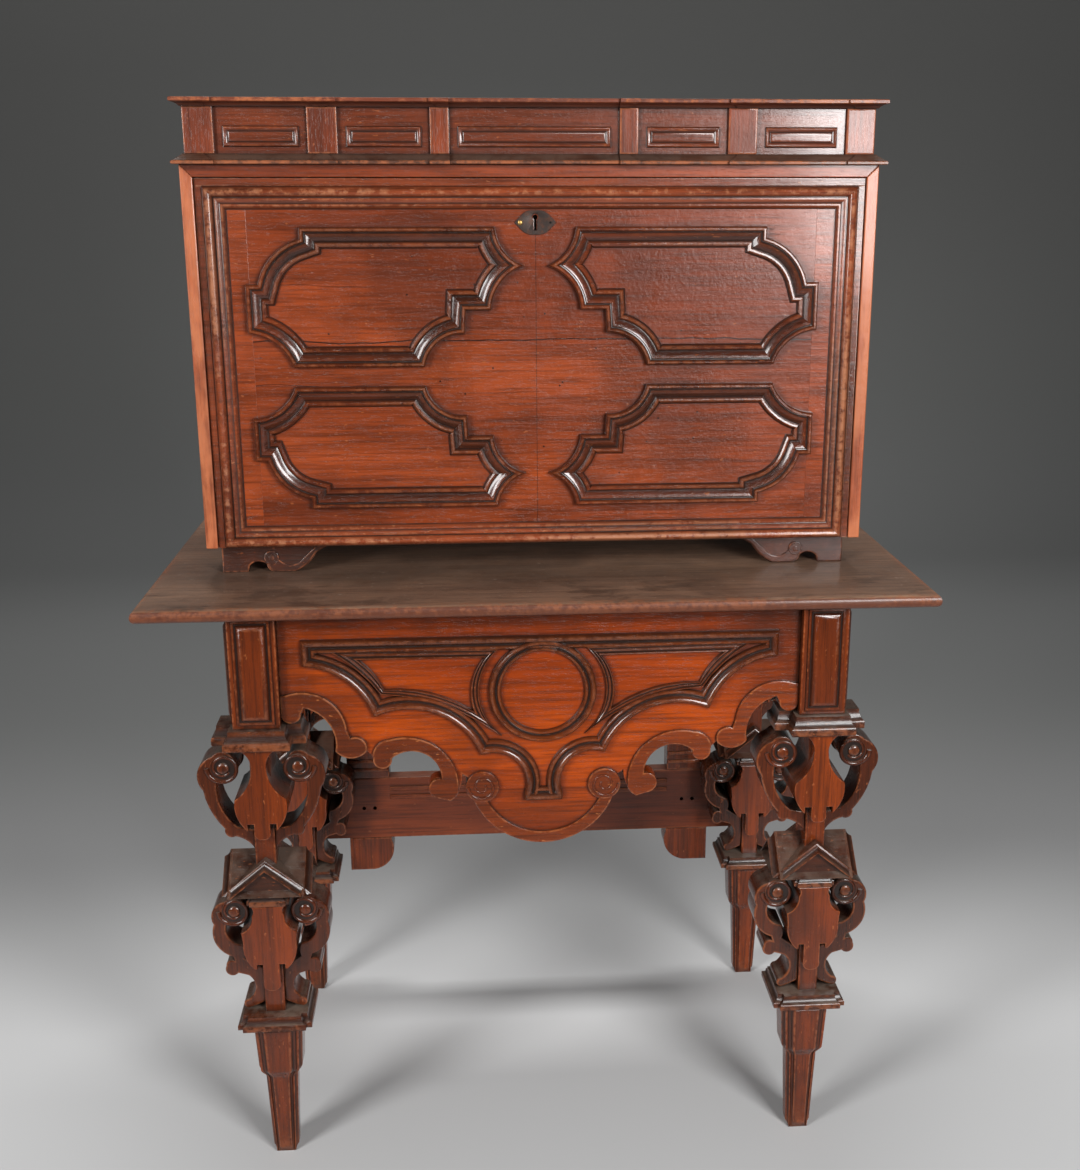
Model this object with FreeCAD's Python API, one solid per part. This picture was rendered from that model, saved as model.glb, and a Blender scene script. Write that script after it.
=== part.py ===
# A vargueno: a drop-front writing chest on its table stand.
# Millimetres. X to the right, Y to the back, Z up. The origin is on the floor,
# under the middle of the table top, and the fall front faces -Y.
import FreeCAD
import Part
import math
import os
from FreeCAD import Vector

# Table top
top_width = 1072.0
top_depth = 592.0
top_thickness = 18.0
top_nose_radius = 8.0
stand_height = 862.0

# Legs, from the top down; the tapered foot takes what is left of the height
top_side_overhang = 116.0
top_end_overhang = 32.0
block_width = 64.0
block_depth = 76.0
block_height = 160.0
cap_plate_height = 27.0
upper_scroll_height = 166.0
pediment_rise = 51.0
pediment_ledge_height = 18.0
lower_scroll_height = 174.0
base_plate_height = 20.0
post_width = 28.0
post_depth = 60.0
shield_depth = 92.0
upper_shield_width = 70.0
lower_shield_width = 78.0
bracket_depth = 50.0
upper_bracket_reach = 82.0
lower_bracket_reach = 80.0
volute_eye_radius = 7.5
volute_eye_height = 4.0
pediment_width = 124.0
pediment_thickness = 14.0
pediment_overhang = 8.0
cap_plate_width = 128.0
cap_break_width = 90.0
cap_wing_depth = 54.0
ledge_block_width = 58.0
base_plate_width = 105.0
plate_step = 7.0
foot_top_width = 63.0
foot_shoulder_width = 55.0
foot_ankle_width = 38.0
foot_toe_width = 28.0
foot_shoulder_drop = 78.0
foot_ankle_drop = 98.0
foot_panel_relief = 4.0
foot_panel_width_share = 0.62
block_panel_margin = 7.0
block_panel_relief = 7.0
block_panel_bevel = 12.0

# Aprons and the rear frame
apron_setback = 14.0
apron_thickness = 24.0
apron_drop = 345.0
apron_band_relief = 5.0
apron_moulding_width = 20.0
apron_moulding_height = 9.0
spandrel_relief = 4.0
medallion_drop = 119.0
medallion_radius = 74.0
medallion_ring_width = 17.0
centre_lobe_radius = 104.0
centre_lobe_band = 17.0
spiral_radius = 23.0
spiral_groove = 5.0
spiral_eye_radius = 9.0
side_apron_drop = 150.0
rear_rail_thickness = 28.0
rear_top_rail_height = 120.0
stretcher_bottom = 274.0
stretcher_height = 114.0
stretcher_fillet_height = 8.0
stretcher_fillet_relief = 3.0
stretcher_fillet_drop = 32.0
stretcher_lap = 30.0
rear_post_inset = 105.0
rear_post_width = 74.0
rear_post_thickness = 40.0
rear_pendant_drop = 62.0
reed_relief = 2.5
reed_pitch = 16.0
peg_radius = 3.5
peg_spacing = 19.0

# Case
case_width = 920.0
case_depth = 410.0
case_front_setback = 154.0
case_height = 511.0
case_board = 16.0
case_floor_board = 18.0
case_back_board = 12.0
bracket_foot_width = 180.0
bracket_foot_inset = 14.0
bracket_foot_board = 18.0
bracket_foot_return = 110.0
rear_foot_size = 44.0

# Frieze above the case, with its hidden drawer
frieze_width = 906.0
frieze_field_height = 58.0
ledge_height = 13.0
ledge_overhang = 14.0
cornice_height = 11.0
cornice_overhang = 12.0
cornice_break = 5.0
frieze_inset = 3.0
frieze_board = 14.0
pilaster_relief = 6.0
pilaster_width = 40.0
inner_pilaster_width = 26.0
frieze_drawer_width = 222.0
frieze_panel_margin = 10.0
frieze_panel_height = 27.0
frieze_panel_lift = 8.0
frieze_panel_relief = 4.0
frieze_panel_bevel = 5.0
frieze_drawer_length = 280.0
frieze_guide_width = 14.0

# Fall front
fall_recess = 8.0
fall_thickness = 26.0
fall_side_gap = 1.0
fall_top_gap = 1.0
fall_clamp_width = 63.0
clamp_tongue_depth = 12.0
clamp_tongue_thickness = 8.0
fall_moulding_height = 12.0
fall_moulding_width = 30.0
fall_head_strip = 10.0
fall_side_strip = 9.0
fall_strip_relief = 4.0
fall_landing_gap = 1.5
panel_moulding_width = 28.0
panel_moulding_height = 11.0
panel_side_margin = 19.0
panel_top_margin = 22.0
panel_bottom_margin = 24.0
panel_gap = 26.0
upper_panel_share = 0.5227

# Hinges of the fall
knuckle_radius = 4.0
knuckle_gap = 0.5
hinge_pin_radius = 1.8
hinge_pin_clearance = 0.15
hinge_leaf_thickness = 2.0
hinge_leaf_depth = 22.0
hinge_width = 60.0
hinge_foot_gap = 36.0
hinge_end_gap = 0.3

# Lock
keyhole_drop = 50.0
keyhole_radius = 3.2
keyhole_slot_width = 3.4
keyhole_slot_length = 17.0
escutcheon_width = 56.0
escutcheon_height = 31.0
escutcheon_thickness = 1.6
escutcheon_nail_radius = 3.4
escutcheon_nail_height = 1.8
lock_width = 80.0
lock_height = 72.0
lock_depth = 12.0
bolt_width = 24.0
bolt_thickness = 6.0
bolt_length = 40.0
bolt_throw = 10.0
keeper_width = 60.0
keeper_depth = 16.0
keeper_thickness = 2.0

# Nest of drawers
nest_setback = 52.0
nest_board = 10.0
side_column_width = 270.0
side_rows = 3
centre_rows = 2
drawer_wall = 8.0
drawer_floor = 6.0
drawer_front_board = 14.0
drawer_side_gap = 1.0
drawer_top_gap = 1.5
knob_radius = 9.0
knob_length = 16.0
drawer_panel_margin = 14.0
drawer_panel_relief = 2.0

# Carved curves are cut as short flats: each turns no more than this many degrees
# and leaves no more than this depth of the curve
flat_turn = 38.0
flat_depth = 1.0
small_round_sides = 8

# Fits
running_gap = 0.3

# Places that follow from the sizes
table_underside = stand_height - top_thickness
block_bottom = table_underside - block_height
cap_plate_bottom = block_bottom - cap_plate_height
upper_scroll_bottom = cap_plate_bottom - upper_scroll_height
pediment_bottom = upper_scroll_bottom - pediment_rise
ledge_block_bottom = pediment_bottom - pediment_ledge_height
lower_scroll_bottom = ledge_block_bottom - lower_scroll_height
foot_top = lower_scroll_bottom - base_plate_height
leg_x = top_width / 2 - top_side_overhang - block_width / 2
leg_y = top_depth / 2 - top_end_overhang - block_depth / 2
apron_half_width = leg_x - block_width / 2
apron_face_y = -leg_y - block_depth / 2 + apron_setback
case_front_y = -top_depth / 2 + case_front_setback
case_back_y = case_front_y + case_depth
fall_face_y = case_front_y + fall_recess
fall_inner_y = fall_face_y + fall_thickness
hinge_drop = knuckle_radius + knuckle_gap
case_foot_height = hinge_drop + fall_thickness + fall_moulding_height + fall_landing_gap
case_bottom_z = stand_height + case_foot_height
case_top_z = case_bottom_z + case_height
case_inner_x = case_width / 2 - case_board
fall_top_z = case_top_z - case_board - fall_top_gap
fall_half_width = case_inner_x - fall_side_gap
hinge_axis_y = fall_inner_y
hinge_axis_z = case_bottom_z - hinge_drop
hinge_centre_x = (case_width / 2 - bracket_foot_inset - bracket_foot_width - hinge_foot_gap
                  - hinge_width / 2)
foot_front_y = hinge_axis_y + running_gap
frieze_half_width = frieze_width / 2
frieze_front_y = case_front_y + frieze_inset
frieze_field_y = frieze_front_y + pilaster_relief
frieze_inner_y = frieze_field_y + frieze_board
frieze_bottom_z = case_top_z + ledge_height
frieze_top_z = frieze_bottom_z + frieze_field_height
keyhole_z = fall_top_z - keyhole_drop
rear_frame_y = leg_y + rear_rail_thickness
rear_post_centre = leg_x - rear_post_inset
medallion_z = table_underside - medallion_drop
nest_front_y = fall_inner_y + nest_setback
nest_back_y = case_back_y - case_back_board
nest_bottom_z = case_bottom_z + case_floor_board
nest_top_z = case_top_z - case_board


def box(x, y, z):
    corner = Vector(x[0], y[0], z[0])
    return Part.makeBox(x[1] - x[0], y[1] - y[0], z[1] - z[0], corner)


def block_at(centre_x, centre_y, width, depth, z):
    x = (centre_x - width / 2, centre_x + width / 2)
    y = (centre_y - depth / 2, centre_y + depth / 2)
    return box(x, y, z)


def cylinder(radius, length, base, direction):
    return Part.makeCylinder(radius, length, base, direction)


def mirrored_x(shape):
    return shape.mirror(Vector(0, 0, 0), Vector(1, 0, 0))


def mirrored_y(shape):
    return shape.mirror(Vector(0, 0, 0), Vector(0, 1, 0))


def moved(shape, x=0, y=0, z=0):
    return shape.translated(Vector(x, y, z))


def both_sides(shape):
    return [shape, mirrored_x(shape)]


def joined(shapes):
    return shapes[0].fuse(shapes[1:]).removeSplitter()


def carved_points(start, through, end):
    edge = Part.Arc(start, through, end).toShape()
    radius = edge.Curve.Radius
    deepest = math.degrees(2 * math.acos(1 - flat_depth / max(radius, flat_depth)))
    flats = math.ceil(math.degrees(edge.Length / radius) / min(flat_turn, deepest))
    points = edge.discretize(flats + 1)
    return points if points[0].isEqual(start, flat_depth) else points[::-1]


# An outline is a start and a run of steps, all in shares of a width and a
# height. Two numbers are a straight step, four are an arc through the first
# pair to the second.
def scaled_runs(start, steps, width, height, left, bottom, y):
    def place(u, v):
        return Vector(left + u * width, y, bottom + v * height)

    here = place(*start)
    runs = []
    for step in steps:
        there = place(*step[-2:])
        if len(step) == 4:
            runs.append(carved_points(here, place(*step[:2]), there))
        else:
            runs.append([here, there])
        here = there
    return runs


def outlined_face(runs):
    points = [runs[0][0]] + [point for run in runs for point in run[1:]]
    return Part.Face(Part.makePolygon(points))


circle_shares = ((0, 1, 1, 0), (0, -1, -1, 0))


def round_plate(radius, centre_x, centre_z, y):
    return outline_plate((-1, 0), circle_shares, radius, radius, centre_x, centre_z, y)


# Corners of a small round, in the plane square to its axis
def small_round(radius):
    angles = [2 * math.pi * side / small_round_sides for side in range(small_round_sides)]
    return [(radius * math.cos(angle), radius * math.sin(angle)) for angle in angles]


def small_ring(radius, centre):
    return [centre + Vector(u, 0, v) for u, v in small_round(radius)]


# A small round that stands out towards -Y, its profile in shares of its radius
# and its height
def small_boss(profile_shares, radius, height, foot):
    return faceted([small_ring(radius * across, foot - Vector(0, height * along, 0))
                    for across, along in profile_shares])


straight_boss_shares = ((1.0, 0.0), (1.0, 1.0))


def outline_plate(start, steps, width, height, left, bottom, y):
    closing = [] if steps[-1][-2:] == start else [start]
    runs = scaled_runs(start, list(steps) + closing, width, height, left, bottom, y[0])
    face = outlined_face(runs)
    return face.extrude(Vector(0, y[1] - y[0], 0))


# The second half of an outline that is the same on both sides of its middle
def mirrored_steps(start, steps):
    ends = [start] + [step[-2:] for step in steps]
    last = ends[-1]
    back = [] if last[0] == 0 else [(-last[0], last[1])]
    for index in range(len(steps) - 1, -1, -1):
        end = (-ends[index][0], ends[index][1])
        step = steps[index]
        if len(step) == 4:
            end = (-step[0], step[1]) + end
        back.append(end)
    return back


def symmetric_plate(start, steps, half_width, height, centre_x, bottom, y):
    whole = list(steps) + mirrored_steps(start, steps)
    runs = scaled_runs(start, whole, half_width, height, centre_x, bottom, y[0])
    face = outlined_face(runs)
    return face.extrude(Vector(0, y[1] - y[0], 0))


# A solid through rings of points that lie in parallel planes
def faceted(rings):
    faces = [Part.Face(Part.makePolygon(ring + [ring[0]])) for ring in (rings[0], rings[-1])]
    for low, high in zip(rings, rings[1:]):
        for index in range(len(low)):
            after = (index + 1) % len(low)
            corners = [low[index], low[after], high[after], high[index], low[index]]
            faces.append(Part.Face(Part.makePolygon(corners)))
    return Part.makeSolid(Part.makeShell(faces))


def frustum(x, z, y_foot, y_top, bevel):
    def ring(inset, y):
        corners = [(x[0] + inset, z[0] + inset), (x[1] - inset, z[0] + inset),
                   (x[1] - inset, z[1] - inset), (x[0] + inset, z[1] - inset)]
        return [Vector(u, y, v) for u, v in corners]

    return faceted([ring(0, y_foot), ring(bevel, y_top)])


def beyond(point, normal, reach):
    block = Part.makeBox(reach, reach, reach, Vector(0, -reach / 2, -reach / 2))
    block.Placement = FreeCAD.Placement(point, FreeCAD.Rotation(Vector(1, 0, 0), normal))
    return block


# One length of moulding along a row of points, its section square to the path
def moulding_run(points, section, width, height):
    outwards = Vector(0, 1, 0)
    tangents = [(b - a).normalize() for a, b in zip(points, points[1:])]
    rings = []
    for index, point in enumerate(points):
        before = tangents[max(index - 1, 0)]
        after = tangents[min(index, len(tangents) - 1)]
        inward = outwards.cross(before + after).normalize()
        inward = inward * (1 / inward.dot(outwards.cross(after)))
        rings.append([point + inward * (u * width) + outwards * (-v * height)
                      for u, v in section])
    return faceted(rings)


# A closed moulding on a face that looks to -Y. Its path runs clockwise and its
# section, in shares of its width and height, lies inside the path. Each step of
# the path is one run, and the runs are mitred where they meet.
def moulding(runs, section, width, height):
    reach = 2 * width
    solids = []
    corners = []
    for run, following in zip(runs, runs[1:] + runs[:1]):
        arriving = (run[-1] - run[-2]).normalize()
        leaving = (following[1] - following[0]).normalize()
        corners.append((run[-1], (arriving + leaving).normalize()))
    for index, run in enumerate(runs):
        lead = (run[0] - run[1]).normalize() * reach
        trail = (run[-1] - run[-2]).normalize() * reach
        points = [run[0] + lead] + run[1:-1] + [run[-1] + trail]
        solid = moulding_run(points, section, width, height)
        start, start_normal = corners[index - 1]
        end, end_normal = corners[index]
        far = 4 * reach + (end - start).Length
        solid = solid.cut(beyond(end, end_normal, far))
        solids.append(solid.cut(beyond(start, -start_normal, far)))
    return joined(solids)


def build_table_top():
    half_x = top_width / 2
    half_y = top_depth / 2
    board = box((-half_x, half_x), (-half_y, half_y), (table_underside, stand_height))
    rim = [edge for edge in board.Edges
           if abs(edge.Vertexes[0].Z - edge.Vertexes[1].Z) < top_nose_radius]
    return board.makeFillet(top_nose_radius, rim)


# Half outline of a shield: the top's end, the neck, the shoulder, a square
# notch and the tongue
upper_shield_shares = ((0.77, 1.0), (0.42, 0.94, 0.30, 0.82), (0.48, 0.68, 1.0, 0.56),
                       (0.94, 0.40, 0.56, 0.28), (0.56, 0.34), (0.31, 0.34), (0.31, 0.27),
                       (0.22, 0.21, 0.0, 0.20))
lower_shield_shares = ((0.60, 1.0), (0.52, 0.96, 0.58, 0.92), (0.70, 0.82, 1.0, 0.77),
                       (0.96, 0.70, 0.95, 0.66), (0.85, 0.52, 0.59, 0.44), (0.50, 0.44),
                       (0.50, 0.48), (0.30, 0.48), (0.30, 0.32), (0.20, 0.25, 0.0, 0.24))


def shield(shares, width, height, bottom):
    depth = (-shield_depth / 2, shield_depth / 2)
    return symmetric_plate((0, 1), shares, width / 2, height, 0, bottom, depth)


# A square foot that tapers, steps in at its shoulder and stands on its toe, with
# a raised strip down each face
def tapered_foot(width_share, relief):
    levels = ((foot_top, foot_top_width),
              (foot_top - foot_shoulder_drop, foot_shoulder_width),
              (foot_top - foot_ankle_drop, foot_ankle_width),
              (0, foot_toe_width))
    rings = []
    for z, width in levels:
        x = width / 2 * width_share
        y = width / 2 + relief
        rings.append([Vector(-x, -y, z), Vector(x, -y, z), Vector(x, y, z), Vector(-x, y, z)])
    return faceted(rings)


# One piece of wood from the block under the table top to the floor
def leg_core():
    strip = tapered_foot(foot_panel_width_share, foot_panel_relief)
    turned_strip = strip.rotated(Vector(0, 0, 0), Vector(0, 0, 1), 90)
    return joined([
        block_at(0, 0, block_width, block_depth, (block_bottom, table_underside)),
        block_at(0, 0, post_width, post_depth, (foot_top, block_bottom)),
        shield(upper_shield_shares, upper_shield_width, upper_scroll_height, upper_scroll_bottom),
        shield(lower_shield_shares, lower_shield_width, lower_scroll_height, lower_scroll_bottom),
        tapered_foot(1.0, 0.0), strip, turned_strip])


# The right bracket of each pair, in shares of its reach from the leg's axis and
# of the section's height
upper_bracket_shares = (
    (0.29, 0.13, 0.49, 0.18), (0.61, 0.18, 0.66, 0.25), (0.87, 0.41, 0.98, 0.60),
    (1.02, 0.81, 0.80, 0.90), (0.60, 0.94, 0.43, 0.83), (0.53, 0.71, 0.73, 0.71),
    (0.73, 0.50, 0.44, 0.27))
lower_bracket_shares = (
    (0.30, 0.05, 0.475, 0.02), (0.56, 0.05, 0.475, 0.10), (0.34, 0.21, 0.45, 0.32),
    (0.625, 0.345), (0.83, 0.35, 0.83, 0.41), (0.77, 0.46, 0.675, 0.46), (0.70, 0.495),
    (0.97, 0.60, 1.0, 0.79), (0.92, 0.965, 0.625, 0.99), (0.43, 0.95, 0.44, 0.87),
    (0.52, 0.81, 0.72, 0.84), (0.77, 0.69, 0.59, 0.61), (0.50, 0.60),
    (0.475, 0.53, 0.50, 0.48))
# Where each bracket meets the post, below and above, and where its eye is
upper_meeting_shares = (0.05, 0.24)
lower_meeting_shares = (0.08, 0.38)
upper_eye_share = (0.62, 0.80)
lower_eye_share = (0.62, 0.91)


def bracket(shares, meeting_shares, eye_share, reach, height, bottom):
    side_share = post_width / 2 / reach
    depth = (-bracket_depth / 2, bracket_depth / 2)
    steps = shares + ((side_share, meeting_shares[1]),)
    plate = outline_plate((side_share, meeting_shares[0]), steps, reach, height, 0, bottom, depth)
    eye_half = bracket_depth / 2 + volute_eye_height
    centre = Vector(reach * eye_share[0], eye_half, bottom + height * eye_share[1])
    eye = small_boss(straight_boss_shares, volute_eye_radius, 2 * eye_half, centre)
    return plate.fuse(eye)


def leg_scrolls():
    upper = bracket(upper_bracket_shares, upper_meeting_shares, upper_eye_share,
                    upper_bracket_reach, upper_scroll_height, upper_scroll_bottom)
    lower = bracket(lower_bracket_shares, lower_meeting_shares, lower_eye_share,
                    lower_bracket_reach, lower_scroll_height, lower_scroll_bottom)
    return both_sides(upper) + both_sides(lower)


def gable_roof(width, depth, rise, bottom):
    ridge = bottom + rise
    front = Part.makePolygon([Vector(-width / 2, -depth / 2, bottom),
                              Vector(width / 2, -depth / 2, bottom),
                              Vector(0, -depth / 2, ridge),
                              Vector(-width / 2, -depth / 2, bottom)])
    side = Part.makePolygon([Vector(-width / 2, -depth / 2, bottom),
                             Vector(-width / 2, depth / 2, bottom),
                             Vector(-width / 2, 0, ridge),
                             Vector(-width / 2, -depth / 2, bottom)])
    return Part.Face(front).extrude(Vector(0, depth, 0)).fuse(
        Part.Face(side).extrude(Vector(width, 0, 0)))


# Plates and crossed gables that are slipped round the leg's post
def leg_mouldings():
    plate_depth = shield_depth + 2 * pediment_overhang
    half_cap = cap_plate_height / 2

    def cap_tier(inset, z):
        wings = block_at(0, 0, cap_plate_width - 2 * inset, cap_wing_depth - 2 * inset, z)
        front = block_at(0, 0, cap_break_width - 2 * inset, plate_depth - 2 * inset, z)
        return wings.fuse(front)

    cap = joined([cap_tier(0, (cap_plate_bottom, cap_plate_bottom + half_cap)),
                  cap_tier(plate_step, (cap_plate_bottom + half_cap, block_bottom))])
    roof = gable_roof(pediment_width, plate_depth, pediment_rise, pediment_bottom)
    hollow_width = pediment_width - 2 * pediment_thickness
    hollow_rise = pediment_rise * hollow_width / pediment_width
    hollow = gable_roof(hollow_width, plate_depth, hollow_rise, pediment_bottom)
    body = block_at(0, 0, hollow_width, shield_depth, (pediment_bottom, upper_scroll_bottom))
    roof = roof.cut(hollow.cut(body)).removeSplitter()
    ledge = block_at(0, 0, ledge_block_width, shield_depth, (ledge_block_bottom, pediment_bottom))
    tier = foot_top + base_plate_height / 2
    base = joined([
        block_at(0, 0, base_plate_width, plate_depth, (foot_top, tier)),
        block_at(0, 0, base_plate_width - 2 * plate_step, plate_depth - 2 * plate_step,
                 (tier, lower_scroll_bottom))])
    post = block_at(0, 0, post_width, post_depth, (foot_top, block_bottom))
    rings = [piece.cut(post) for piece in (cap, roof, ledge, base)]
    return rings + block_panels()


# Raised panels on the two outer faces of the block
def block_panels():
    z = (block_bottom + block_panel_margin, table_underside - block_panel_margin)
    half_x = block_width / 2 - block_panel_margin
    front_y = -block_depth / 2
    front = frustum((-half_x, half_x), z, front_y, front_y - block_panel_relief, block_panel_bevel)
    half_y = block_depth / 2 - block_panel_margin
    side_x = -block_width / 2
    side = frustum((-half_y, half_y), z, side_x, side_x - block_panel_relief, block_panel_bevel)
    side = side.rotated(Vector(0, 0, 0), Vector(0, 0, 1), -90)
    return [front, side]


def build_legs():
    core = leg_core()
    scrolls = Part.makeCompound(leg_scrolls())
    trims = Part.makeCompound(leg_mouldings())
    nodes = {}
    for side, x in (("left", -leg_x), ("right", leg_x)):
        for end, y in (("front", -leg_y), ("rear", leg_y)):
            trim = trims if end == "front" else mirrored_y(trims)
            trim = mirrored_x(trim) if side == "right" else trim
            wood = moved(core, x, y)
            name = end + "_" + side
            nodes["leg_" + name] = wood if end == "front" else wood.cut(stretcher_board())
            nodes["leg_scrolls_" + name] = moved(scrolls, x, y)
            nodes["leg_mouldings_" + name] = moved(trim, x, y)
    return nodes


# Right half of the front apron's cut edge, from the top's middle down to the
# tip of the centre lobe, in shares of the half width and the drop
apron_edge_shares = (
    (1.0, 1.0), (1.0, 0.574), (0.963, 0.545, 0.924, 0.586), (0.913, 0.609),
    (0.840, 0.565, 0.801, 0.423), (0.744, 0.391, 0.683, 0.417), (0.657, 0.391),
    (0.621, 0.343, 0.586, 0.386), (0.478, 0.409, 0.397, 0.293),
    (0.447, 0.258, 0.416, 0.209), (0.365, 0.194), (0.331, 0.235, 0.315, 0.304),
    (0.292, 0.287), (0.208, 0.090, 0.0, 0.0))
# Closed shapes whose common part with the board is a raised band along its edge
first_band_start_share = (1.0, 0.50)
first_band_shares = ((1.0, 0.661), (0.978, 0.664), (0.846, 0.655, 0.753, 0.513),
                     (0.742, 0.478), (0.685, 0.458, 0.683, 0.417), (0.683, 0.30), (1.0, 0.30))
second_band_start_share = (0.66, 0.28)
second_band_shares = ((0.66, 0.40), (0.640, 0.446, 0.593, 0.467), (0.421, 0.438, 0.331, 0.270),
                      (0.331, 0.17), (0.66, 0.17))
spiral_place_share = (0.239, 0.252)


def apron_plate(start, steps, symmetric, y):
    bottom = table_underside - apron_drop
    make = symmetric_plate if symmetric else outline_plate
    return make(start, steps, apron_half_width, apron_drop, 0, bottom, y)


def build_front_apron():
    back = apron_face_y + apron_thickness
    front = apron_face_y - apron_band_relief
    board = apron_plate((0, 1), apron_edge_shares, True, (apron_face_y, back))
    skin = apron_plate((0, 1), apron_edge_shares, True, (front, apron_face_y))
    bands = []
    for start, steps in ((first_band_start_share, first_band_shares),
                         (second_band_start_share, second_band_shares)):
        band = apron_plate(start, steps, False, (front, apron_face_y))
        bands += [skin.common(shape) for shape in both_sides(band)]
    bottom = table_underside - apron_drop
    relief = (front, apron_face_y)
    inner_disc = round_plate(centre_lobe_radius - centre_lobe_band, 0,
                             bottom + centre_lobe_radius, relief)
    spiral_x = apron_half_width * spiral_place_share[0]
    spiral_z = bottom + apron_drop * spiral_place_share[1]
    lower = box((-spiral_x, spiral_x), (front, apron_face_y), (bottom, spiral_z))
    bands.append(skin.common(lower).cut(inner_disc))
    spiral = round_plate(spiral_radius, spiral_x, spiral_z, (front, back))
    groove = round_plate(spiral_eye_radius + spiral_groove, spiral_x, spiral_z, relief)
    eye = round_plate(spiral_eye_radius, spiral_x, spiral_z, relief)
    spiral = spiral.cut(groove).fuse(eye)
    return joined([board] + bands + both_sides(spiral))


# Sections of the applied mouldings, in shares of their width and height
band_section_shares = ((0, 0), (0, 0.5), (0.30, 1.0), (0.62, 1.0), (1.0, 0.35), (1.0, 0))
bead_section_shares = ((0, 0), (0, 0.6), (0.35, 1.0), (0.65, 1.0), (1.0, 0.5), (1.0, 0))
apron_path_shares = (
    (0.913, 0.887), (0.913, 0.780), (0.758, 0.722, 0.649, 0.562), (0.421, 0.574, 0.242, 0.388),
    (0.118, 0.371, 0.076, 0.220), (0.076, 0.188))
# The flat band beside the medallion lies between these two outlines
spandrel_outer_start_share = (0.168, 0.829)
spandrel_outer_shares = (
    (0.805, 0.829), (0.700, 0.760, 0.619, 0.662), (0.386, 0.610, 0.159, 0.467),
    (0.244, 0.670, 0.168, 0.829))
spandrel_inner_start_share = (0.226, 0.796)
spandrel_inner_shares = (
    (0.690, 0.796), (0.646, 0.749, 0.607, 0.682), (0.385, 0.648, 0.271, 0.581),
    (0.277, 0.679, 0.226, 0.796))


def spandrel():
    y = (apron_face_y - spandrel_relief, apron_face_y)
    outer = apron_plate(spandrel_outer_start_share, spandrel_outer_shares, False, y)
    inner = apron_plate(spandrel_inner_start_share, spandrel_inner_shares, False, y)
    return outer.cut(inner)


# The ring and the spandrels are let into the band where they meet it
def build_apron_mouldings():
    bottom = table_underside - apron_drop
    top_left = (-apron_path_shares[0][0], apron_path_shares[0][1])
    middle_top = (0, apron_path_shares[0][1])
    whole = list(apron_path_shares) + mirrored_steps(middle_top, apron_path_shares)[:-1]
    band_path = scaled_runs(top_left, whole, apron_half_width, apron_drop, 0, bottom, apron_face_y)
    band = moulding(band_path, band_section_shares, apron_moulding_width, apron_moulding_height)
    circle_path = scaled_runs((-1, 0), circle_shares, medallion_radius, medallion_radius,
                              0, medallion_z, apron_face_y)
    ring = moulding(circle_path, bead_section_shares, medallion_ring_width, apron_moulding_height)
    return joined([band, ring] + both_sides(spandrel()))


side_apron_shares = (
    (1.0, 1.0), (1.0, 0.0), (0.88, 0.06, 0.82, 0.34), (0.66, 0.20, 0.48, 0.42),
    (0.26, 0.60, 0.0, 0.62))


def build_side_aprons():
    half_length = leg_y - block_depth / 2
    outer_x = leg_x + block_width / 2 - apron_setback
    board = symmetric_plate((0, 1), side_apron_shares, half_length, side_apron_drop, 0,
                            table_underside - side_apron_drop, (-outer_x, apron_thickness - outer_x))
    board = board.rotated(Vector(0, 0, 0), Vector(0, 0, 1), 90)
    return Part.makeCompound(both_sides(board))


def build_rear_top_rail():
    return box((-apron_half_width, apron_half_width), (leg_y, rear_frame_y),
               (table_underside - rear_top_rail_height, table_underside))


def stretcher_board():
    half = leg_x + stretcher_lap
    return box((-half, half), (rear_frame_y, rear_frame_y + rear_rail_thickness),
               (stretcher_bottom, stretcher_bottom + stretcher_height))


def stretcher_pegs():
    length = rear_post_thickness
    pegs = []
    for centre in (-rear_post_centre, rear_post_centre):
        for x in (centre - peg_spacing / 2, centre + peg_spacing / 2):
            pegs.append(round_plate(peg_radius, x, stretcher_bottom + stretcher_height / 2,
                                    (rear_frame_y, rear_frame_y + length)))
    return Part.makeCompound(pegs)


# The rear stretcher laps over the backs of the rear legs, with a fillet worked
# along its front between the posts
def build_rear_stretcher():
    half = rear_post_centre - rear_post_width / 2
    top = stretcher_bottom + stretcher_height - stretcher_fillet_drop / 2
    fillets = []
    for drop in (0, stretcher_fillet_height * 2):
        z = (top - drop - stretcher_fillet_height, top - drop)
        fillets.append(box((-half, half),
                           (rear_frame_y - stretcher_fillet_relief, rear_frame_y), z))
    return joined([stretcher_board()] + fillets).cut(stretcher_pegs())


rear_post_shares = ((1.0, 1.0), (1.0, 0.13), (0.86, 0.03, 0.55, 0.0), (0.0, 0.0))


# Posts behind the rear frame, halved over the stretcher, each ending in a
# rounded drop below it
def build_rear_posts():
    bottom = stretcher_bottom - rear_pendant_drop
    height = table_underside - bottom
    back = rear_frame_y + rear_post_thickness
    inner = -rear_post_centre - rear_post_width / 2
    post = outline_plate((0, 1), rear_post_shares, rear_post_width, height, inner, bottom,
                         (rear_frame_y, back))
    reeds = []
    stretcher_top = stretcher_bottom + stretcher_height
    for count in (1, 2):
        middle = stretcher_top + count * reed_pitch
        reeds.append(frustum((inner, inner + rear_post_width),
                             (middle - reed_pitch / 4, middle + reed_pitch / 4),
                             rear_frame_y, rear_frame_y - reed_relief, reed_relief))
    post = joined([post] + reeds).cut(stretcher_board()).cut(stretcher_pegs())
    return Part.makeCompound(both_sides(post))


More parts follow.
